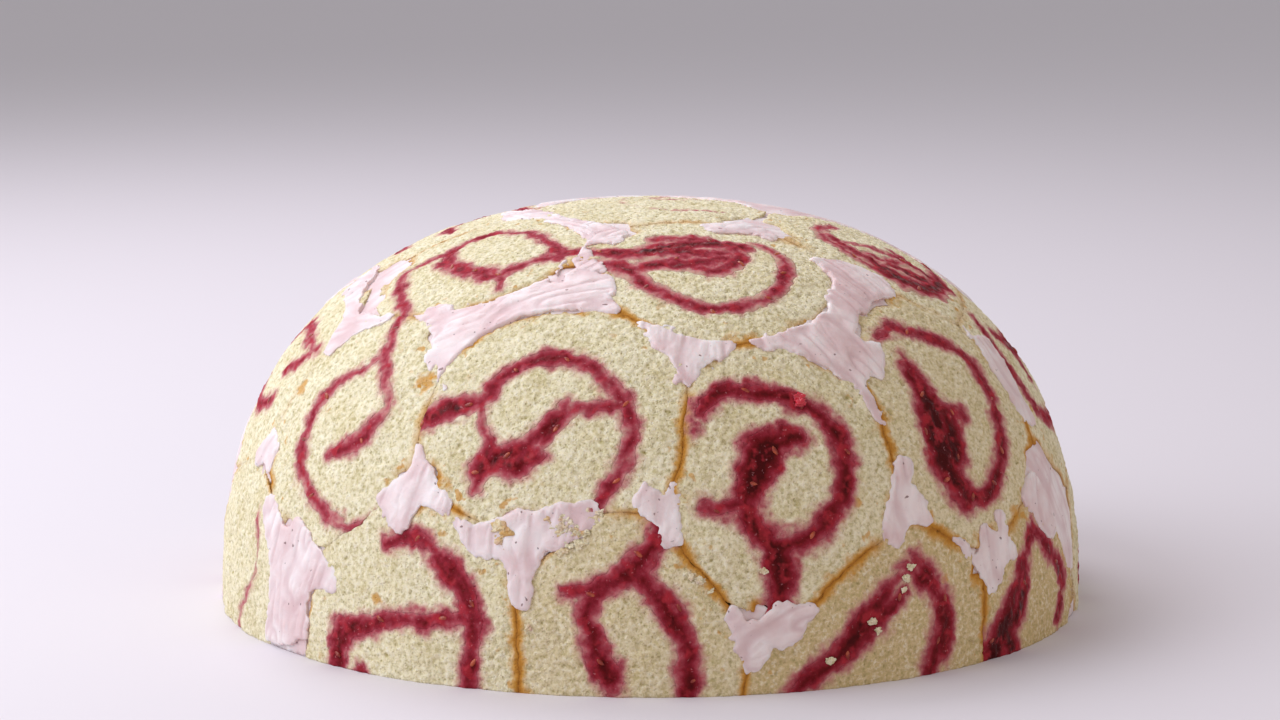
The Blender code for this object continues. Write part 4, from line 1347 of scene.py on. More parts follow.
@dataclass(frozen=True)
class RaspberrySeed:
    """Raspberry seeds boiled in the jam: orange-red, hard and slightly glossy, with a fine net.

    Attributes:
        pale: its lighter tone.
        dark: its darker one.
        tone_size: size of the changes between them.
        net_size: of the net's meshes.
    """

    pale: str = "#B4502E"
    dark: str = "#86261A"
    tone_size: float = 2.0
    net_size: float = 0.35

    def material(self) -> Material:
        """Builds the finish.

        Returns:
            The material.
        """
        material, tree, shader = new_material("raspberry_seed_boiled")
        place = add_node(tree, "TexCoord").outputs["Object"]
        tone = add_node(tree, "TexNoise", {
            "Vector": place, "Scale": per_mm(self.tone_size), "Detail": 1.0})
        toned = add_node(tree, "MapRange", {"Value": tone, "From Min": 0.4, "From Max": 0.6})
        colour = add_node(tree, "Mix", {
            MIX_SHARE: toned, MIX_FIRST: linear(self.dark), MIX_SECOND: linear(self.pale)},
            data_type="RGBA")
        net = add_node(tree, "TexVoronoi", {"Vector": place, "Scale": per_mm(self.net_size)})
        bump = add_node(tree, "Bump", {"Height": net, "Strength": 0.5, "Distance": 0.15 * MM})
        feed(tree, shader, {
            "Base Color": colour.outputs[MIX_RESULT], "Normal": bump, "Roughness": 0.3})
        return material


@dataclass(frozen=True)
class RaspberryFlesh:
    """A scrap of whole raspberry, cooked soft: bright, wet and translucent.

    Attributes:
        colour: of the flesh.
        grain_size: of its lumps.
    """

    colour: str = "#C42A3C"
    grain_size: float = 0.8

    def material(self) -> Material:
        """Builds the finish.

        Returns:
            The material.
        """
        material, tree, shader = new_material("raspberry_flesh_cooked")
        place = add_node(tree, "TexCoord").outputs["Object"]
        grain = add_node(tree, "TexNoise", {
            "Vector": place, "Scale": per_mm(self.grain_size), "Detail": 2.0})
        bump = add_node(tree, "Bump", {"Height": grain, "Strength": 0.6, "Distance": 0.3 * MM})
        feed(tree, shader, {
            "Base Color": linear(self.colour), "Normal": bump, "Roughness": 0.25,
            "Subsurface Weight": 0.4, "Subsurface Radius": (1.0, 0.3, 0.3),
            "Subsurface Scale": 1.0 * MM})
        return material


@dataclass(frozen=True)
class MattPaint:
    """Board rolled with matt emulsion: pale, even and without gloss.

    Attributes:
        colour: of the paint.
        roller_grain: size of the roller's marks.
    """

    colour: str = "#DCD6DA"
    roller_grain: float = 2.5

    def material(self) -> Material:
        """Builds the finish.

        Returns:
            The material.
        """
        material, tree, shader = new_material("matt_emulsion_rolled")
        place = add_node(tree, "TexCoord").outputs["Object"]
        grain = add_node(tree, "TexNoise", {
            "Vector": place, "Scale": per_mm(self.roller_grain), "Detail": 2.0})
        bump = add_node(tree, "Bump", {"Height": grain, "Strength": 0.1, "Distance": 0.1 * MM})
        feed(tree, shader, {"Base Color": linear(self.colour), "Normal": bump, "Roughness": 0.8})
        return material


@dataclass
class Slice(Seat):
    """One slice of roll.

    Attributes:
        name: of its row and its place in it.
        rim: 12 radii, anticlockwise from its right.
        swirl: its arms of jam.
    """

    name: str
    rim: tuple[float, ...]
    swirl: tuple

    def reach(self, ways: Array) -> Array:
        """How far out directions lie.

        Args:
            ways: unit directions.

        Returns:
            Shares of this slice's own rim, less than 1 inside it.
        """
        points = self.points(ways)
        turn = np.degrees(np.arctan2(points[:, 1], points[:, 0])) % 360 * len(self.rim) / 360
        index = np.floor(turn).astype(int)
        a, b, c, d = (np.take(self.rim, index + step, mode="wrap") for step in (-1, 0, 1, 2))
        return np.hypot(*points.T) / between(a, b, c, d, turn - index)


def turned_swirl(swirl: tuple, turn: float, mirrored: bool, scale: float) -> tuple:
    """A swirl turned by an angle, perhaps mirrored, and drawn larger or smaller.

    Args:
        swirl: its arms of jam.
        turn: in degrees.
        mirrored: whether left and right change places before the turn.
        scale: 1 keeps its size.

    Returns:
        The new swirl.
    """
    return tuple(
        tuple(((180 - angle if mirrored else angle) + turn, distance * scale, half * scale)
              for angle, distance, half in arm)
        for arm in swirl
    )


def back_slices(shown: tuple, back: tuple, draw: random.Random) -> list[tuple]:
    """The slices that carry a row on round the back, between its last and first shown ones.

    Args:
        shown: the slices that the row shows in front.
        back: how many more, their angle from the top, rim, and whether they may be turned.
        draw: the source of random numbers.

    Returns:
        Their values, each as of a shown slice.
    """
    count, polar, rim, may_turn = back
    first = shown[-1][0]
    spacing = (shown[0][0] + 360 - first) / (count + 1)
    slices = []
    for step in range(1, count + 1):
        uneven = tuple(radius * (1 + draw.uniform(-BACK_UNEVENNESS, BACK_UNEVENNESS))
                       for radius in rim)
        turn = draw.uniform(0, 360) if may_turn else 0
        scale = min(uneven) / FITTED_RIM
        pattern = shown[-step % len(shown)]
        swirl = turned_swirl(pattern[3], turn, step % 2 == 1, scale)
        height = polar + draw.uniform(-BACK_TILT, BACK_TILT) if may_turn else pattern[1]
        slices.append((first + spacing * step, height, uneven, swirl))
    return slices


def all_slices() -> list[Slice]:
    """Every slice of the cake.

    Returns:
        The crown, and then each row from the top down, round from the left.
    """
    draw = random.Random(BACK_SEED)
    rows = (
        ("upper", UPPER_ROW, UPPER_BACK),
        ("middle", MIDDLE_ROW, MIDDLE_BACK),
        ("lower", LOWER_ROW, LOWER_BACK),
    )
    slices = [Slice(CROWN[0], CROWN[1], "crown", CROWN[2], CROWN[3])]
    for row, shown, back in rows:
        for number, values in enumerate([*shown, *back_slices(shown, back, draw)], start=1):
            azimuth, polar, rim, swirl = values
            slices.append(Slice(azimuth, polar, f"{row}_{number}", rim, swirl))
    return slices


@dataclass
class Lining:
    """The slices of roll that line the dome, pressed together with worn, uneven rims.

    Attributes:
        slices: all of them.
        step: distance between the points of a face.
        arm_step: distance between the points along an arm of jam.
        thickness: of a slice.
        sunk: how far a face lies below the dome.
        gap: between two slices that touch, at the least and at the most.
        soaked: width of sponge full of jam beside each arm, which belongs to the sponge.
        corner_sharpness: how tightly a slice fills the corner between its neighbours.
        spread: share by which a rim runs on to meet a neighbour that is close.
        near: how far apart the middles of two slices that touch may be.
        rounding: width and depth of the rounding at a free rim, and where a neighbour touches.
        wear: what moves the rims. This and the next five are layers of noise, as for waves.
        parting: what opens the seams here and there.
        wander: what moves the edges of the jam.
        tearing: what frays the scraps of skin.
        swell: the wide swellings of the crumb.
        pulp: the lumps of the jam.
        bubbles: of the crumb, each (depth, what balls takes).
        lumps: of the crumb, each (height, what balls takes).
        hollow: how far the crumb lies down between its lumps.
        seed_depth: how far inside the edge of the jam its seeds lie.
        kept: the values that the finishes read.
        jam_spots: places that may hold a seed, which build fills in.
    """

    slices: list[Slice]
    step: float = 0.45
    arm_step: float = 1.6
    thickness: float = 10.0
    sunk: float = 0.62
    gap: tuple[float, float] = (0.0, 0.3)
    soaked: float = 0.32
    corner_sharpness: float = 80.0
    spread: float = 0.15
    near: float = 75.0
    rounding: tuple = ((2.0, 0.5), (1.2, 0.14))
    wear: tuple = ((0.6, 5.0, 11), (0.3, 1.6, 21))
    parting: tuple = ((1.0, 8.0, 15), (0.4, 2.0, 16))
    wander: tuple = ((0.6, 2.6, 71), (0.5, 1.2, 73))
    tearing: tuple = ((0.7, 1.3, 19), (0.4, 0.6, 20))
    swell: tuple = ((0.3, 6.0, 51),)
    pulp: tuple = ((0.32, 1.6, 61), (0.15, 0.7, 62))
    bubbles: tuple = ((0.75, (5.5, (0.5, 1.1), 0.16, 31)), (0.35, (1.6, (0.3, 0.6), 0.5, 41)))
    lumps: tuple = ((0.38, (1.6, (1.3, 1.8), 1.0, 45)), (0.3, (0.95, (0.75, 1.05), 1.0, 49)))
    hollow: float = 0.52
    seed_depth: float = 1.25
    kept: tuple[str, ...] = ("jam", "rim", "touch", "pore", "skin", "brown_share", "scrap")
    jam_spots: list[Array] = field(default_factory=list)

    def crowding(self, piece: Slice, ways: Array) -> tuple[Array, Array]:
        """Where a slice ends, at its own rim or halfway to a neighbour.

        Args:
            piece: the slice.
            ways: unit directions.

        Returns:
            Shares, less than 1 inside the slice, and 0 to 1 for how nearly a neighbour touches.
        """
        own = piece.reach(ways)
        limits = [np.zeros(len(ways))]
        closest = np.full(len(ways), np.inf)
        for other in self.slices:
            apart = math.acos(min(1.0, float(other.axes()[2] @ piece.axes()[2]))) * ARC_SCALE
            if other is not piece and apart < self.near:
                reach = other.reach(ways)
                closest = np.minimum(closest, reach)
                limits.append(own - reach + 1)
        meeting = 1 - smooth_step(closest - 1, self.spread, 2.4 * self.spread)
        limits[0] = own - self.spread * meeting
        peak = np.max(limits, axis=0)
        total = sum(np.exp(self.corner_sharpness * (limit - peak)) for limit in limits)
        return peak + np.log(total) / self.corner_sharpness, meeting

    def worn(self, ways: Array) -> Array:
        """Unit directions moved a little at random, alike for all the slices, to wear the rims."""
        moved = ways + drift(ways * ARC_SCALE, self.wear, 3) / ARC_SCALE
        return moved / np.linalg.norm(moved, axis=1, keepdims=True)

    def skin(self, places: Array) -> Array:
        """How much of the golden skin shows at a rim.

        Args:
            places: on the dome.

        Returns:
            From 0 to 1 for each place.
        """
        shown = 0.2 + 0.8 * noise(places, 9.0, 17)
        for azimuth, polar, reach in GOLDEN_SEAMS:
            far = smooth_step(Seat(azimuth, polar).apart(places) / reach, 0.5, 1.1)
            shown = np.maximum(shown, 1.2 * (1 - far))
        return np.clip(shown, 0.05, 1)

    def scraps(self, places: Array) -> Array:
        """Where scraps of golden skin are stuck to a face.

        Args:
            places: on the dome.

        Returns:
            From 0 to 1 for each place.
        """
        ragged = waves(places, self.tearing)
        shown = np.zeros(len(places))
        for azimuth, polar, size in SKIN_SCRAPS:
            apart = Seat(azimuth, polar).apart(places) / size + ragged
            shown = np.maximum(shown, 1 - smooth_step(apart, 0.3, 1.0))
        return shown

    def relief(self, places: Array, rim: Array, touch: Array,
               jam: Array) -> tuple[Array, Array]:
        """How far a face lies below the dome, and how deep it is in a bubble.

        Args:
            places: the face's places on the dome.
            rim: distance from the rim, negative inside.
            touch: 1 where a neighbour touches and 0 where none does.
            jam: distance from the jam, negative inside it.

        Returns:
            The depth, and 0 to 1 for each place in a bubble.
        """
        bubbles = [balls(places, *form) for _, form in self.bubbles]
        crumb = (waves(places, self.swell) - self.hollow
                 - sum(deep * bubble for (deep, _), bubble in zip(self.bubbles, bubbles))
                 + sum(high * balls(places, *form) for high, form in self.lumps))
        pulp = waves(places, self.pulp) - 0.08
        wet = smooth_step(-jam, -0.5, 0.7)
        width, drop = (np.interp(touch, (0, 1), ends) for ends in zip(*self.rounding))
        edge = np.clip(1 + rim / width, 0, 1) ** 2
        depth = self.sunk - (1 - wet) * crumb - wet * pulp + drop * edge
        return np.maximum(depth, CLEARANCE), np.max(bubbles, axis=0) * (1 - wet)

    def build_slice(self, number: int, piece: Slice, sponge: Material,
                    jam: Material) -> None:
        """Builds a slice's sponge and its jam.

        Args:
            number: of the slice, which seeds its points.
            piece: the slice.
            sponge: the sponge's finish.
            jam: the jam's finish.
        """
        sheet = Sheet.lattice(max(piece.rim) + 2, self.step, number)
        ways = piece.ways(sheet.points)
        places = ways * ARC_SCALE
        share, touch = self.crowding(piece, self.worn(ways))
        # how far off the rim lies in each direction; near the middle any value will do
        rim = np.where(share > 0.3, np.hypot(*sheet.points.T) / np.maximum(share, 0.3),
                       np.mean(piece.rim))
        gap = np.interp(smooth_step(waves(places, self.parting), 0.5, 1.0), (0, 1), self.gap)
        arms = [smooth_arm(arm, self.arm_step)
                for arm in (*piece.swirl, *MORE_JAM.get(piece.name, ()))]
        inked = sheet.points + drift(places, self.wander, 2)
        thinner, paler = THIN_JAM.get(piece.name, (0.0, 0.0))
        # where a neighbour touches, the share changes twice as fast, as the neighbour's does too
        sheet.values |= {
            "rim": (share - 1) * rim / (1 + touch) + gap / 2,
            "floor": -ways[:, 2] * ARC_SCALE,
            "jam": arm_distance(inked, arms) + self.soaked + thinner,
            "touch": touch,
            "skin": self.skin(places),
            "brown_share": np.full(len(places), BROWNER_CRUMB.get(piece.name, 0.0)),
            "scrap": self.scraps(places),
        }
        sheet.values["depth"], sheet.values["pore"] = self.relief(
            places, sheet.values["rim"], touch, sheet.values["jam"])
        sheet = sheet.cut("rim")[0].cut("floor")[0]
        filling, crumb = sheet.cut("jam")
        for kind, part, finish, slot in (("sponge", crumb, sponge, Slot.SPONGE),
                                         ("jam", filling, jam, Slot.JAM)):
            part.values["rim"] = -part.values["rim"]
            part.values["jam"] += paler
            ways = piece.ways(part.points)
            body = add_solid(f"{kind}_of_{piece.name}", part, DOME.place(ways, part.values["depth"]),
                             DOME.place(ways, self.thickness), finish, self.kept)
            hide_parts(f"{kind}_{piece.name}")
        inner = filling.values["jam"] < paler - self.seed_depth
        spots = DOME.place(piece.ways(filling.points[inner]), filling.values["depth"][inner])
        self.jam_spots.append(spots)

    def build(self) -> None:
        """Builds every slice."""
        sponge = WhiskedSponge().material()
        jam = RaspberryJam().material()
        for number, piece in enumerate(self.slices):
            self.build_slice(number, piece, sponge, jam)


@dataclass
class Smear(Seat):
    """A patch of mousse smeared over the rims where slices meet.

    Attributes:
        name: where it is.
        grain: direction of its creases, in degrees.
        tuck: where it would cover less of a rim than this, it dips under the rim instead; with -1
            it never does.
        corners: its outline.
    """

    name: str
    grain: float
    tuck: float
    corners: tuple


@dataclass
class MousseCoat:
    """All the mousse: patches smeared over the rims, what fills the gaps, and the core inside.

    Attributes:
        smears: the patches that the front shows.
        slices: the slices that it fills the gaps between.
        patch_step: distance between the points of a patch.
        gap_step: distance between the points of what fills the gaps.
        core_step: distance between the points of the core, which hardly shows.
        skirt: depth that the patches and the fill reach down to.
        bed_depth: of the beds that the slices lie in.
        bed_rim: where a bed ends, as a share of a slice's rim.
        crease_size: length of a crease, and distance between two.
        crease_depth: of a crease.
        patch_edge: depth that a patch has at its edge.
        patch_lip: how much higher it lies within its edge.
        patch_tuck: how much deeper it lies where it dips under a rim.
        patch_drift: layers of noise that move its outline.
        patch_swell: layers of noise that make its surface uneven.
        gap_rim: where a gap begins, as a share of a slice's rim, in front and behind.
        gap_depth: of the fill at its edge behind.
        gap_sink: how much deeper it lies in front.
        gap_lip: how much higher it lies within its edge behind.
        front_lap: how far it runs on past the gaps in front.
        back_lap: how far it does behind, at the least and on average.
        lap_waves: layers of noise that change that.
    """

    smears: list[Smear]
    slices: list[Slice]
    patch_step: float = 0.42
    gap_step: float = 0.8
    core_step: float = 2.0
    skirt: float = 2.2
    bed_depth: float = 10.6
    bed_rim: float = 1.12
    crease_size: tuple[float, float] = (11.0, 2.4)
    crease_depth: float = 0.3
    patch_edge: float = 0.54
    patch_lip: float = 0.38
    patch_tuck: float = 1.6
    patch_drift: tuple = ((0.7, 3.0, 91), (0.45, 1.2, 93))
    patch_swell: tuple = ((0.12, 2.0, 95), (0.14, 5.0, 96))
    gap_rim: tuple[float, float] = (1.13, 1.05)
    gap_depth: float = 0.62
    gap_sink: float = 0.6
    gap_lip: float = 0.45
    front_lap: float = 3.8
    back_lap: tuple[float, float] = (1.7, 2.0)
    lap_waves: tuple = ((1.6, 9.0, 101), (0.9, 2.6, 102))

    def nearest(self, ways: Array) -> Array:
        """How far out directions lie, as shares of the nearest slice's rim."""
        return np.min([piece.reach(ways) for piece in self.slices], axis=0)

    def creases(self, points: Array, places: Array, grain: float) -> Array:
        """How deep points lie in the creases left by the lining film.

        Args:
            points: on the patch's plane.
            places: the same points in space.
            grain: the creases' direction in degrees.

        Returns:
            1 in the middle of a crease and 0 away from them.
        """
        turn = math.radians(grain)
        length, spacing = self.crease_size
        along = points @ (math.cos(turn), math.sin(turn))
        across = points @ (-math.sin(turn), math.cos(turn)) + 1.2 * noise(places, 7.0, 81)
        strand = np.stack([along / length, across / spacing, np.full(len(points), 0.5)], axis=1)
        long = noise(strand, 1.0, 82)
        short = noise(strand * (2.2, 2.0, 1.0), 1.0, 83)
        return np.maximum(1 - smooth_step(np.abs(long), 0.0, 0.34),
                          0.5 - 0.5 * smooth_step(np.abs(short), 0.0, 0.3))

    def add_skin(self, name: str, seat: Seat, sheet: Sheet, material: Material) -> None:
        """Cuts a sheet to its edge and to the floor, and makes it a piece with a skirt.

        Args:
            name: of the piece.
            seat: where the sheet lies.
            sheet: with its edge, depth and crease as values.
            material: its finish.
        """
        sheet.values["floor"] = FLOOR_GAP - seat.ways(sheet.points)[:, 2] * ARC_SCALE
        sheet = sheet.cut("edge")[0].cut("floor")[0]
        ways = seat.ways(sheet.points)
        add_solid(name, sheet, DOME.place(ways, sheet.values["depth"]),
                  DOME.place(ways, self.skirt), material, ("crease",))

    def build_smear(self, number: int, smear: Smear, material: Material) -> None:
        """Builds one patch.

        Args:
            number: of the patch, which seeds its points.
            smear: the patch.
            material: its finish.
        """
        outline = smooth_outline(smear.corners, 4)
        sheet = Sheet.lattice(float(np.hypot(*outline.T).max()) + 2, self.patch_step, 100 + number)
        ways = smear.ways(sheet.points)
        places = ways * ARC_SCALE
        moved = sheet.points + drift(places, self.patch_drift, 2)
        edge = outline_distance(moved, outline) + 0.25 * noise(places, 0.7, 97)
        inside = (1 - self.nearest(ways)) * np.mean(ROUND_RIM)
        dip = (smooth_step(smear.tuck - (inside - edge), -0.3, 0.3)
               * smooth_step(inside, -0.5, 0.6))
        lip = smooth_step(-edge, -0.1, 0.9)
        crease = self.creases(sheet.points, places, smear.grain) * lip
        depth = (self.patch_edge - self.patch_lip * lip + self.crease_depth * crease
                 + waves(places, self.patch_swell) + self.patch_tuck * dip)
        sheet.values |= {"edge": edge, "depth": np.maximum(depth, CLEARANCE), "crease": crease}
        self.add_skin(f"mousse_{smear.name}", smear, sheet, material)

    def build_gaps(self, material: Material) -> None:
        """Builds the mousse that fills the gaps between the slices, all round the dome.

        In front, where the patches cover it, it lies deep and runs on under the rims. Behind, where
        there are no patches, it laps unevenly over them.

        Args:
            material: its finish.
        """
        top = Seat(0, 0)
        sheet = Sheet.lattice(ARC_SCALE * math.pi / 2 + 2, self.gap_step, 200)
        ways = top.ways(sheet.points)
        places = ways * ARC_SCALE
        facing = ways @ (0.0, -math.cos(CAMERA_TILT), math.sin(CAMERA_TILT))
        shown = facing > 0.1
        open_gap = self.nearest(ways) > np.where(shown, *self.gap_rim)
        gaps = tree_of(places[open_gap])
        apart = np.array([gaps.find(place)[2] for place in places])
        least, mean = self.back_lap
        behind = np.maximum(mean + waves(places, self.lap_waves), least)
        edge = apart - np.where(shown, self.front_lap, behind) + 0.35 * noise(places, 1.4, 103)
        crease = self.creases(sheet.points, places, 20)
        lip = smooth_step(-edge, -0.1, 1.2)
        front = smooth_step(facing, 0.04, 0.12)
        depth = (self.gap_depth + self.gap_sink * front
                 + (self.crease_depth * crease - self.gap_lip) * lip * (1 - front))
        sheet.values |= {"edge": edge, "depth": depth, "crease": crease * lip}
        self.add_skin("mousse_gaps", top, sheet, material)

    def build_core(self, material: Material) -> None:
        """Builds the mousse inside, with a bed sunk in it for each slice, on its flat base.

        Args:
            material: its finish.
        """
        top = Seat(0, 0)
        sheet = Sheet.lattice(ARC_SCALE * math.pi / 2 + 3, self.core_step, 300)
        ways = top.ways(sheet.points)
        bed = (self.nearest(ways) - self.bed_rim) * np.mean(ROUND_RIM)
        rise = smooth_step(bed, 0.0, 1.2)
        sheet.values |= {"depth": self.bed_depth - (self.bed_depth - self.skirt) * rise,
                         "crease": np.zeros(len(ways)), "floor": -ways[:, 2] * ARC_SCALE}
        sheet = sheet.cut("floor")[0]
        front = DOME.place(top.ways(sheet.points), sheet.values["depth"])
        base = front * (0.3, 0.3, 0.0)
        core = add_solid("mousse_core", sheet, front, base, material, ("crease",))
        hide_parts("mousse")

    def build(self) -> None:
        """Builds all the mousse."""
        material = RaspberryMousse().material()
        for number, smear in enumerate(self.smears):
            self.build_smear(number, smear, material)
        self.build_gaps(material)
        self.build_core(material)


@dataclass
class Seeds:
    """Raspberry seeds in the jam.

    Attributes:
        spots: places in the jam that may hold one.
        spacing: about how far apart they are.
        size: length, width and thickness.
        lowest: how far above the floor they stay.
        sunk: how far the middle of one lies in the jam.
        draw_seed: of the random draw.
    """

    spots: Array
    spacing: float = 9.0
    size: tuple[float, float, float] = (2.0, 1.0, 0.75)
    lowest: float = 2.5
    sunk: float = 0.1
    draw_seed: int = 5

    def build(self) -> None:
        """Builds all the seeds as one piece."""
        draw = np.random.default_rng(self.draw_seed)
        order = [at for at in draw.permutation(len(self.spots)) if self.spots[at, 2] > self.lowest]
        tree = tree_of(self.spots)
        free = np.ones(len(self.spots), dtype=bool)
        chosen = []
        for at in order:
            if free[at]:
                chosen.append(at)
                reach = self.spacing * draw.uniform(0.7, 1.9)
                for _, near, _ in tree.find_range(self.spots[at], reach):
                    free[near] = False
        shape, faces = self.seed_shape()
        places, triangles = [], []
        for count, at in enumerate(chosen):
            out = self.spots[at] / np.linalg.norm(self.spots[at])
            turn = Matrix.Rotation(draw.uniform(0, 2 * math.pi), 3, out.tolist())
            side = np.cross(out, (0.0, 0.0, 1.0) if abs(out[2]) < 0.9 else (1.0, 0.0, 0.0))
            side = np.array(turn) @ (side / np.linalg.norm(side))
            axes = np.stack([side, np.cross(out, side), out])
            scale = draw.uniform(0.8, 1.1) / 2
            places.append(self.spots[at] - out * self.sunk + shape * self.size * scale @ axes)
            triangles.append(faces + count * len(shape))
        corners = np.vstack(triangles)
        add_piece("seeds", np.vstack(places), corners, np.ones(len(corners), dtype=bool),
                  RaspberrySeed().material(), {})

    def seed_shape(self) -> tuple[Array, Array]:
        """A seed with a radius of 1: a ball drawn to a point at one end.

        Returns:
            Its places and its triangles.
        """
        rings, sides = 5, 7
        polar = np.linspace(0, math.pi, rings + 1)[1:-1]
        turn = np.arange(sides) * 2 * math.pi / sides
        across = np.sin(polar)[:, None]
        along = np.cos(polar)[:, None] * np.ones(sides)
        body = np.stack([along, across * np.cos(turn), across * np.sin(turn)], axis=-1)
        shape = np.vstack([(1.25, 0, 0), body.reshape(-1, 3), (-0.95, 0, 0)])
        last = len(shape) - 1
        faces = []
        for side in range(sides):
            after = (side + 1) % sides
            faces.append((0, 1 + side, 1 + after))
            faces.append((last, last - sides + after, last - sides + side))
            for ring in range(rings - 2):
                a, b = 1 + ring * sides + side, 1 + ring * sides + after
                faces.extend([(a, a + sides, b + sides), (a, b + sides, b)])
        return shape, np.array(faces)


@dataclass
class Crumbs:
    """Loose crumbs and scraps stuck to the cake.

    Attributes:
        spots: each (azimuth, angle from the top, size across, whether it is golden skin).
        strewn: how many more small ones lie in the rough patch of mousse.
        rough: the middle of that patch, and how far it reaches, in degrees.
        strewn_size: the smallest and the largest of those.
        strewn_golden: share of them that is golden skin.
        fruit: azimuth, angle from the top and size of a scrap of raspberry.
        form: how long, wide and thick a lump is, as shares of its size.
        roughness: layers of noise that shape it.
        sunk: how far its middle lies below the dome.
        from_jam: distance from the jam that its colour is taken at.
        from_rim: distance from a rim that it is taken at, of golden skin and of crumb.
        draw_seed: of the random draw.
    """

    spots: tuple = (
        (-19.2, 71.7, 2.2, True), (-18.6, 72.6, 1.4, True), (-19.0, 70.6, 2.8, True),
        (-11.7, 70.3, 1.8, False), (-10.2, 69.8, 2.0, False), (-6.5, 68.1, 1.4, False),
        (13.7, 75.2, 1.2, False), (22, 86.5, 1.4, False), (27.8, 82.3, 1.5, False),
        (28.7, 83.5, 1.3, False), (4.6, 75.4, 1.6, False), (-15, 82, 1.3, False),
        (34.1, 76.4, 1.2, False), (33.2, 77.7, 1.5, False), (32.6, 79.1, 1.2, False),
        (5.8, 76, 1.4, False), (7.3, 77.2, 1.2, False),
    )
    strewn: int = 40
    rough: tuple[float, float, float, float] = (-10.5, 70.3, 2.6, 1.5)
    strewn_size: tuple[float, float] = (0.7, 1.8)
    strewn_golden: float = 0.15
    fruit: tuple[float, float, float] = (22.1, 54.7, 2.8)
    form: tuple[float, float, float] = (1.2, 0.9, 0.42)
    roughness: tuple = ((1.0, 0.8, 111), (0.7, 0.3, 112))
    sunk: float = 0.5
    from_jam: float = 2.0
    from_rim: tuple[float, float] = (1.0, 9.0)
    draw_seed: int = 9

    def lump(self, azimuth: float, polar: float, size: float,
             seed: int) -> tuple[Array, Array]:
        """An uneven lump that lies on the cake.

        Args:
            azimuth: in degrees from the front.
            polar: angle from the top, in degrees.
            size: across.
            seed: a different number gives another form.

        Returns:
            Its places and its triangles.
        """
        ball = bmesh.new()
        bmesh.ops.create_icosphere(ball, subdivisions=3, radius=1.0)
        shape = np.array([tuple(vertex.co) for vertex in ball.verts])
        faces = np.array([[vertex.index for vertex in face.verts] for face in ball.faces])
        ball.free()
        swelling = np.maximum(1 + 0.9 * waves(shape + seed, self.roughness), 0.3)
        shape *= swelling[:, None] * size / 2
        axes = Seat(azimuth, polar).axes()
        return DOME.place(axes[2:3], self.sunk) + shape * self.form @ axes, faces

    def add(self, name: str, lumps: list[tuple[float, float, float]], golden: list[bool],
            material: Material, slot: Slot) -> None:
        """Adds some lumps as one piece.

        Args:
            name: of the piece.
            lumps: azimuth, angle from the top and size of each.
            golden: whether each is golden skin.
            material: their finish.
            slot: not used.
        """
        made = [self.lump(*values, seed) for seed, values in enumerate(lumps)]
        count = len(made[0][0])
        places = np.vstack([part[0] for part in made])
        triangles = np.vstack([part[1] + count * at for at, part in enumerate(made)])
        values = {key: np.zeros(len(places)) for key in ("touch", "pore", "brown_share", "scrap")}
        values |= {"jam": np.full(len(places), self.from_jam), "skin": np.ones(len(places)),
                   "rim": np.where(np.repeat(golden, count), *self.from_rim)}
        add_piece(name, places, triangles, np.zeros(len(triangles), dtype=bool), material, values)

    def build(self) -> None:
        """Builds the crumbs as one piece and the scrap of raspberry as another."""
        draw = random.Random(self.draw_seed)
        azimuth, polar, wide, high = self.rough
        lumps = [spot[:3] for spot in self.spots]
        golden = [spot[3] for spot in self.spots]
        for _ in range(self.strewn):
            lumps.append((azimuth + draw.gauss(0, wide / 2), polar + draw.gauss(0, high / 2),
                          draw.uniform(*self.strewn_size)))
            golden.append(draw.random() < self.strewn_golden)
        self.add("crumbs", lumps, golden, WhiskedSponge().material(), Slot.SPONGE)
        self.add("raspberry_scrap", [self.fruit], [False], RaspberryFlesh().material(), Slot.JAM)


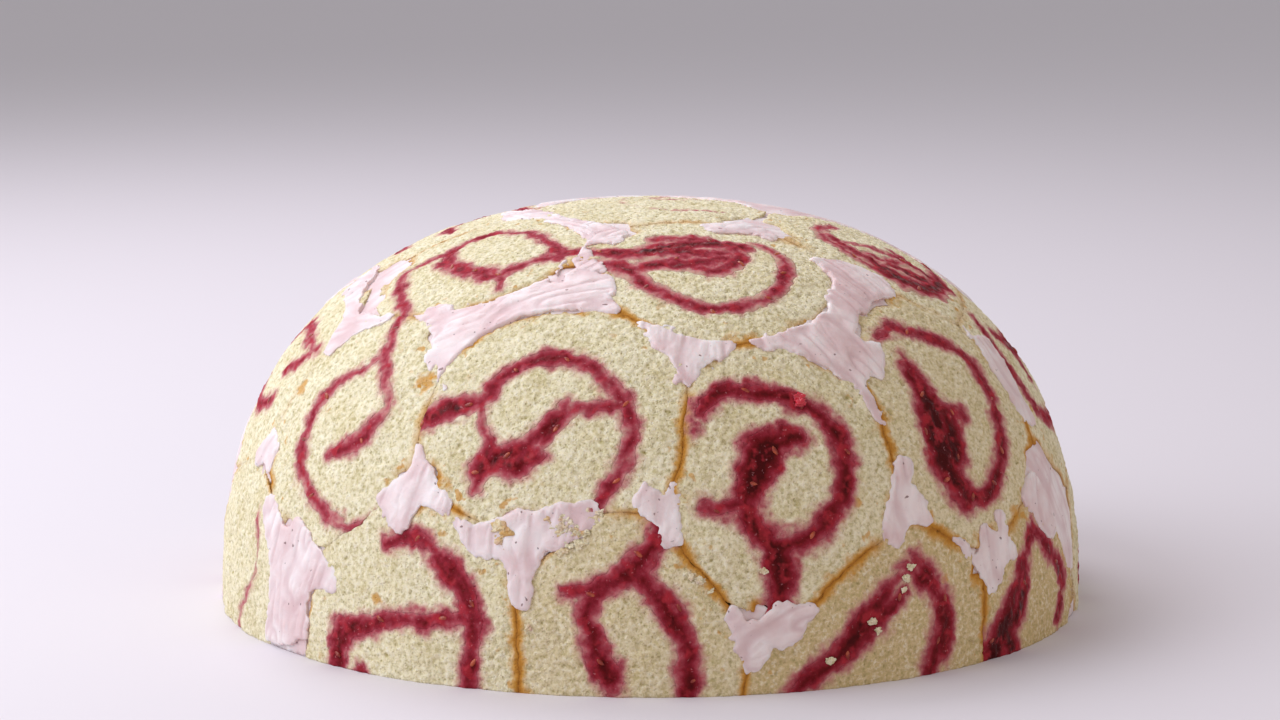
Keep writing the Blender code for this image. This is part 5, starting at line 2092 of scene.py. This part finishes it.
@dataclass
class Studio:
    """The floor, the light and the camera.

    Attributes:
        camera_place: in mm.
        focal_length: for a sensor 36 mm wide.
        floor_width: of the pale floor, in metres.
        lights: what add_light takes for each.
        room: colour of the pale surroundings.
        room_strength: of their light.
    """

    camera_place: tuple[float, float, float] = (-2.4, -821.9, 189.3)
    focal_length: float = 101.25
    floor_width: float = 14.0
    lights: tuple = (
        ("key", -75, 38, 0.9, 0.7, 6.1, "#F0F5FF"),
        ("back", -150, 50, 1.0, 0.6, 4.0, "#F8F4FF"),
        ("fill", 50, 25, 1.1, 0.9, 1.15, "#FFDDB4"),
    )
    room: str = "#F0EEF2"
    room_strength: float = 0.56

    def build_floor(self) -> None:
        """Builds the floor."""
        half = self.floor_width / 2
        mesh = bpy.data.meshes.new("floor")
        mesh.from_pydata([(-half, -half, 0), (half, -half, 0), (half, half, 0), (-half, half, 0)],
                         [], [(0, 1, 2, 3)])
        mesh.materials.append(MattPaint().material())
        floor = bpy.data.objects.new("floor", mesh)
        bpy.context.scene.collection.objects.link(floor)

    def add_light(self, name: str, azimuth: float, height: float, distance: float, width: float,
                  power: float, colour: str) -> None:
        """Adds a soft square light that faces the cake.

        Args:
            name: of the light.
            azimuth: in degrees from the front, negative to the left.
            height: in degrees above the floor.
            distance: from the cake, in metres.
            width: in metres.
            power: in watts.
            colour: as sRGB hex.
        """
        light = bpy.data.lights.new(name, "AREA")
        light.size = width
        light.energy = power
        light.color = linear(colour)[:3]
        lamp = bpy.data.objects.new(name, light)
        bpy.context.scene.collection.objects.link(lamp)
        turn, lift = math.radians(azimuth), math.radians(height)
        lamp.location = (distance * math.cos(lift) * math.sin(turn),
                         -distance * math.cos(lift) * math.cos(turn), distance * math.sin(lift))
        lamp.rotation_euler = Euler((math.pi / 2 - lift, 0.0, turn))

    def build_light(self) -> None:
        """Adds the lights and the pale surroundings."""
        for light in self.lights:
            self.add_light(*light)
        world = bpy.data.worlds.new("pale_room")
        world.use_nodes = True
        shade = world.node_tree.nodes["Background"]
        shade.inputs["Color"].default_value = linear(self.room)
        shade.inputs["Strength"].default_value = self.room_strength
        bpy.context.scene.world = world
        bpy.context.scene.view_settings.view_transform = "Standard"

    def build_camera(self) -> None:
        """Adds the camera."""
        camera = bpy.data.cameras.new("camera")
        camera.lens = self.focal_length
        camera.sensor_width = 36.0
        camera.clip_end = 50.0
        stand = bpy.data.objects.new("camera", camera)
        stand.location = [value * MM for value in self.camera_place]
        stand.rotation_euler = Euler((math.pi / 2 - CAMERA_TILT, 0.0, 0.0))
        bpy.context.scene.collection.objects.link(stand)
        bpy.context.scene.camera = stand

    def build(self) -> None:
        """Builds all of it."""
        self.build_camera()
        self.build_floor()
        self.build_light()


def main() -> None:
    """Builds the looks of the cake, piece by piece."""
    logging.basicConfig(level=logging.INFO, format="%(message)s")
    Studio().build()
    slices = all_slices()
    lining = Lining(slices)
    lining.build()
    smears = [Smear(azimuth, polar, name, grain, tuck, corners)
              for name, azimuth, polar, grain, tuck, corners in SMEARS]
    MousseCoat(smears, slices).build()
    Seeds(np.vstack(lining.jam_spots)).build()
    Crumbs().build()


if __name__ == "__main__":
    main()
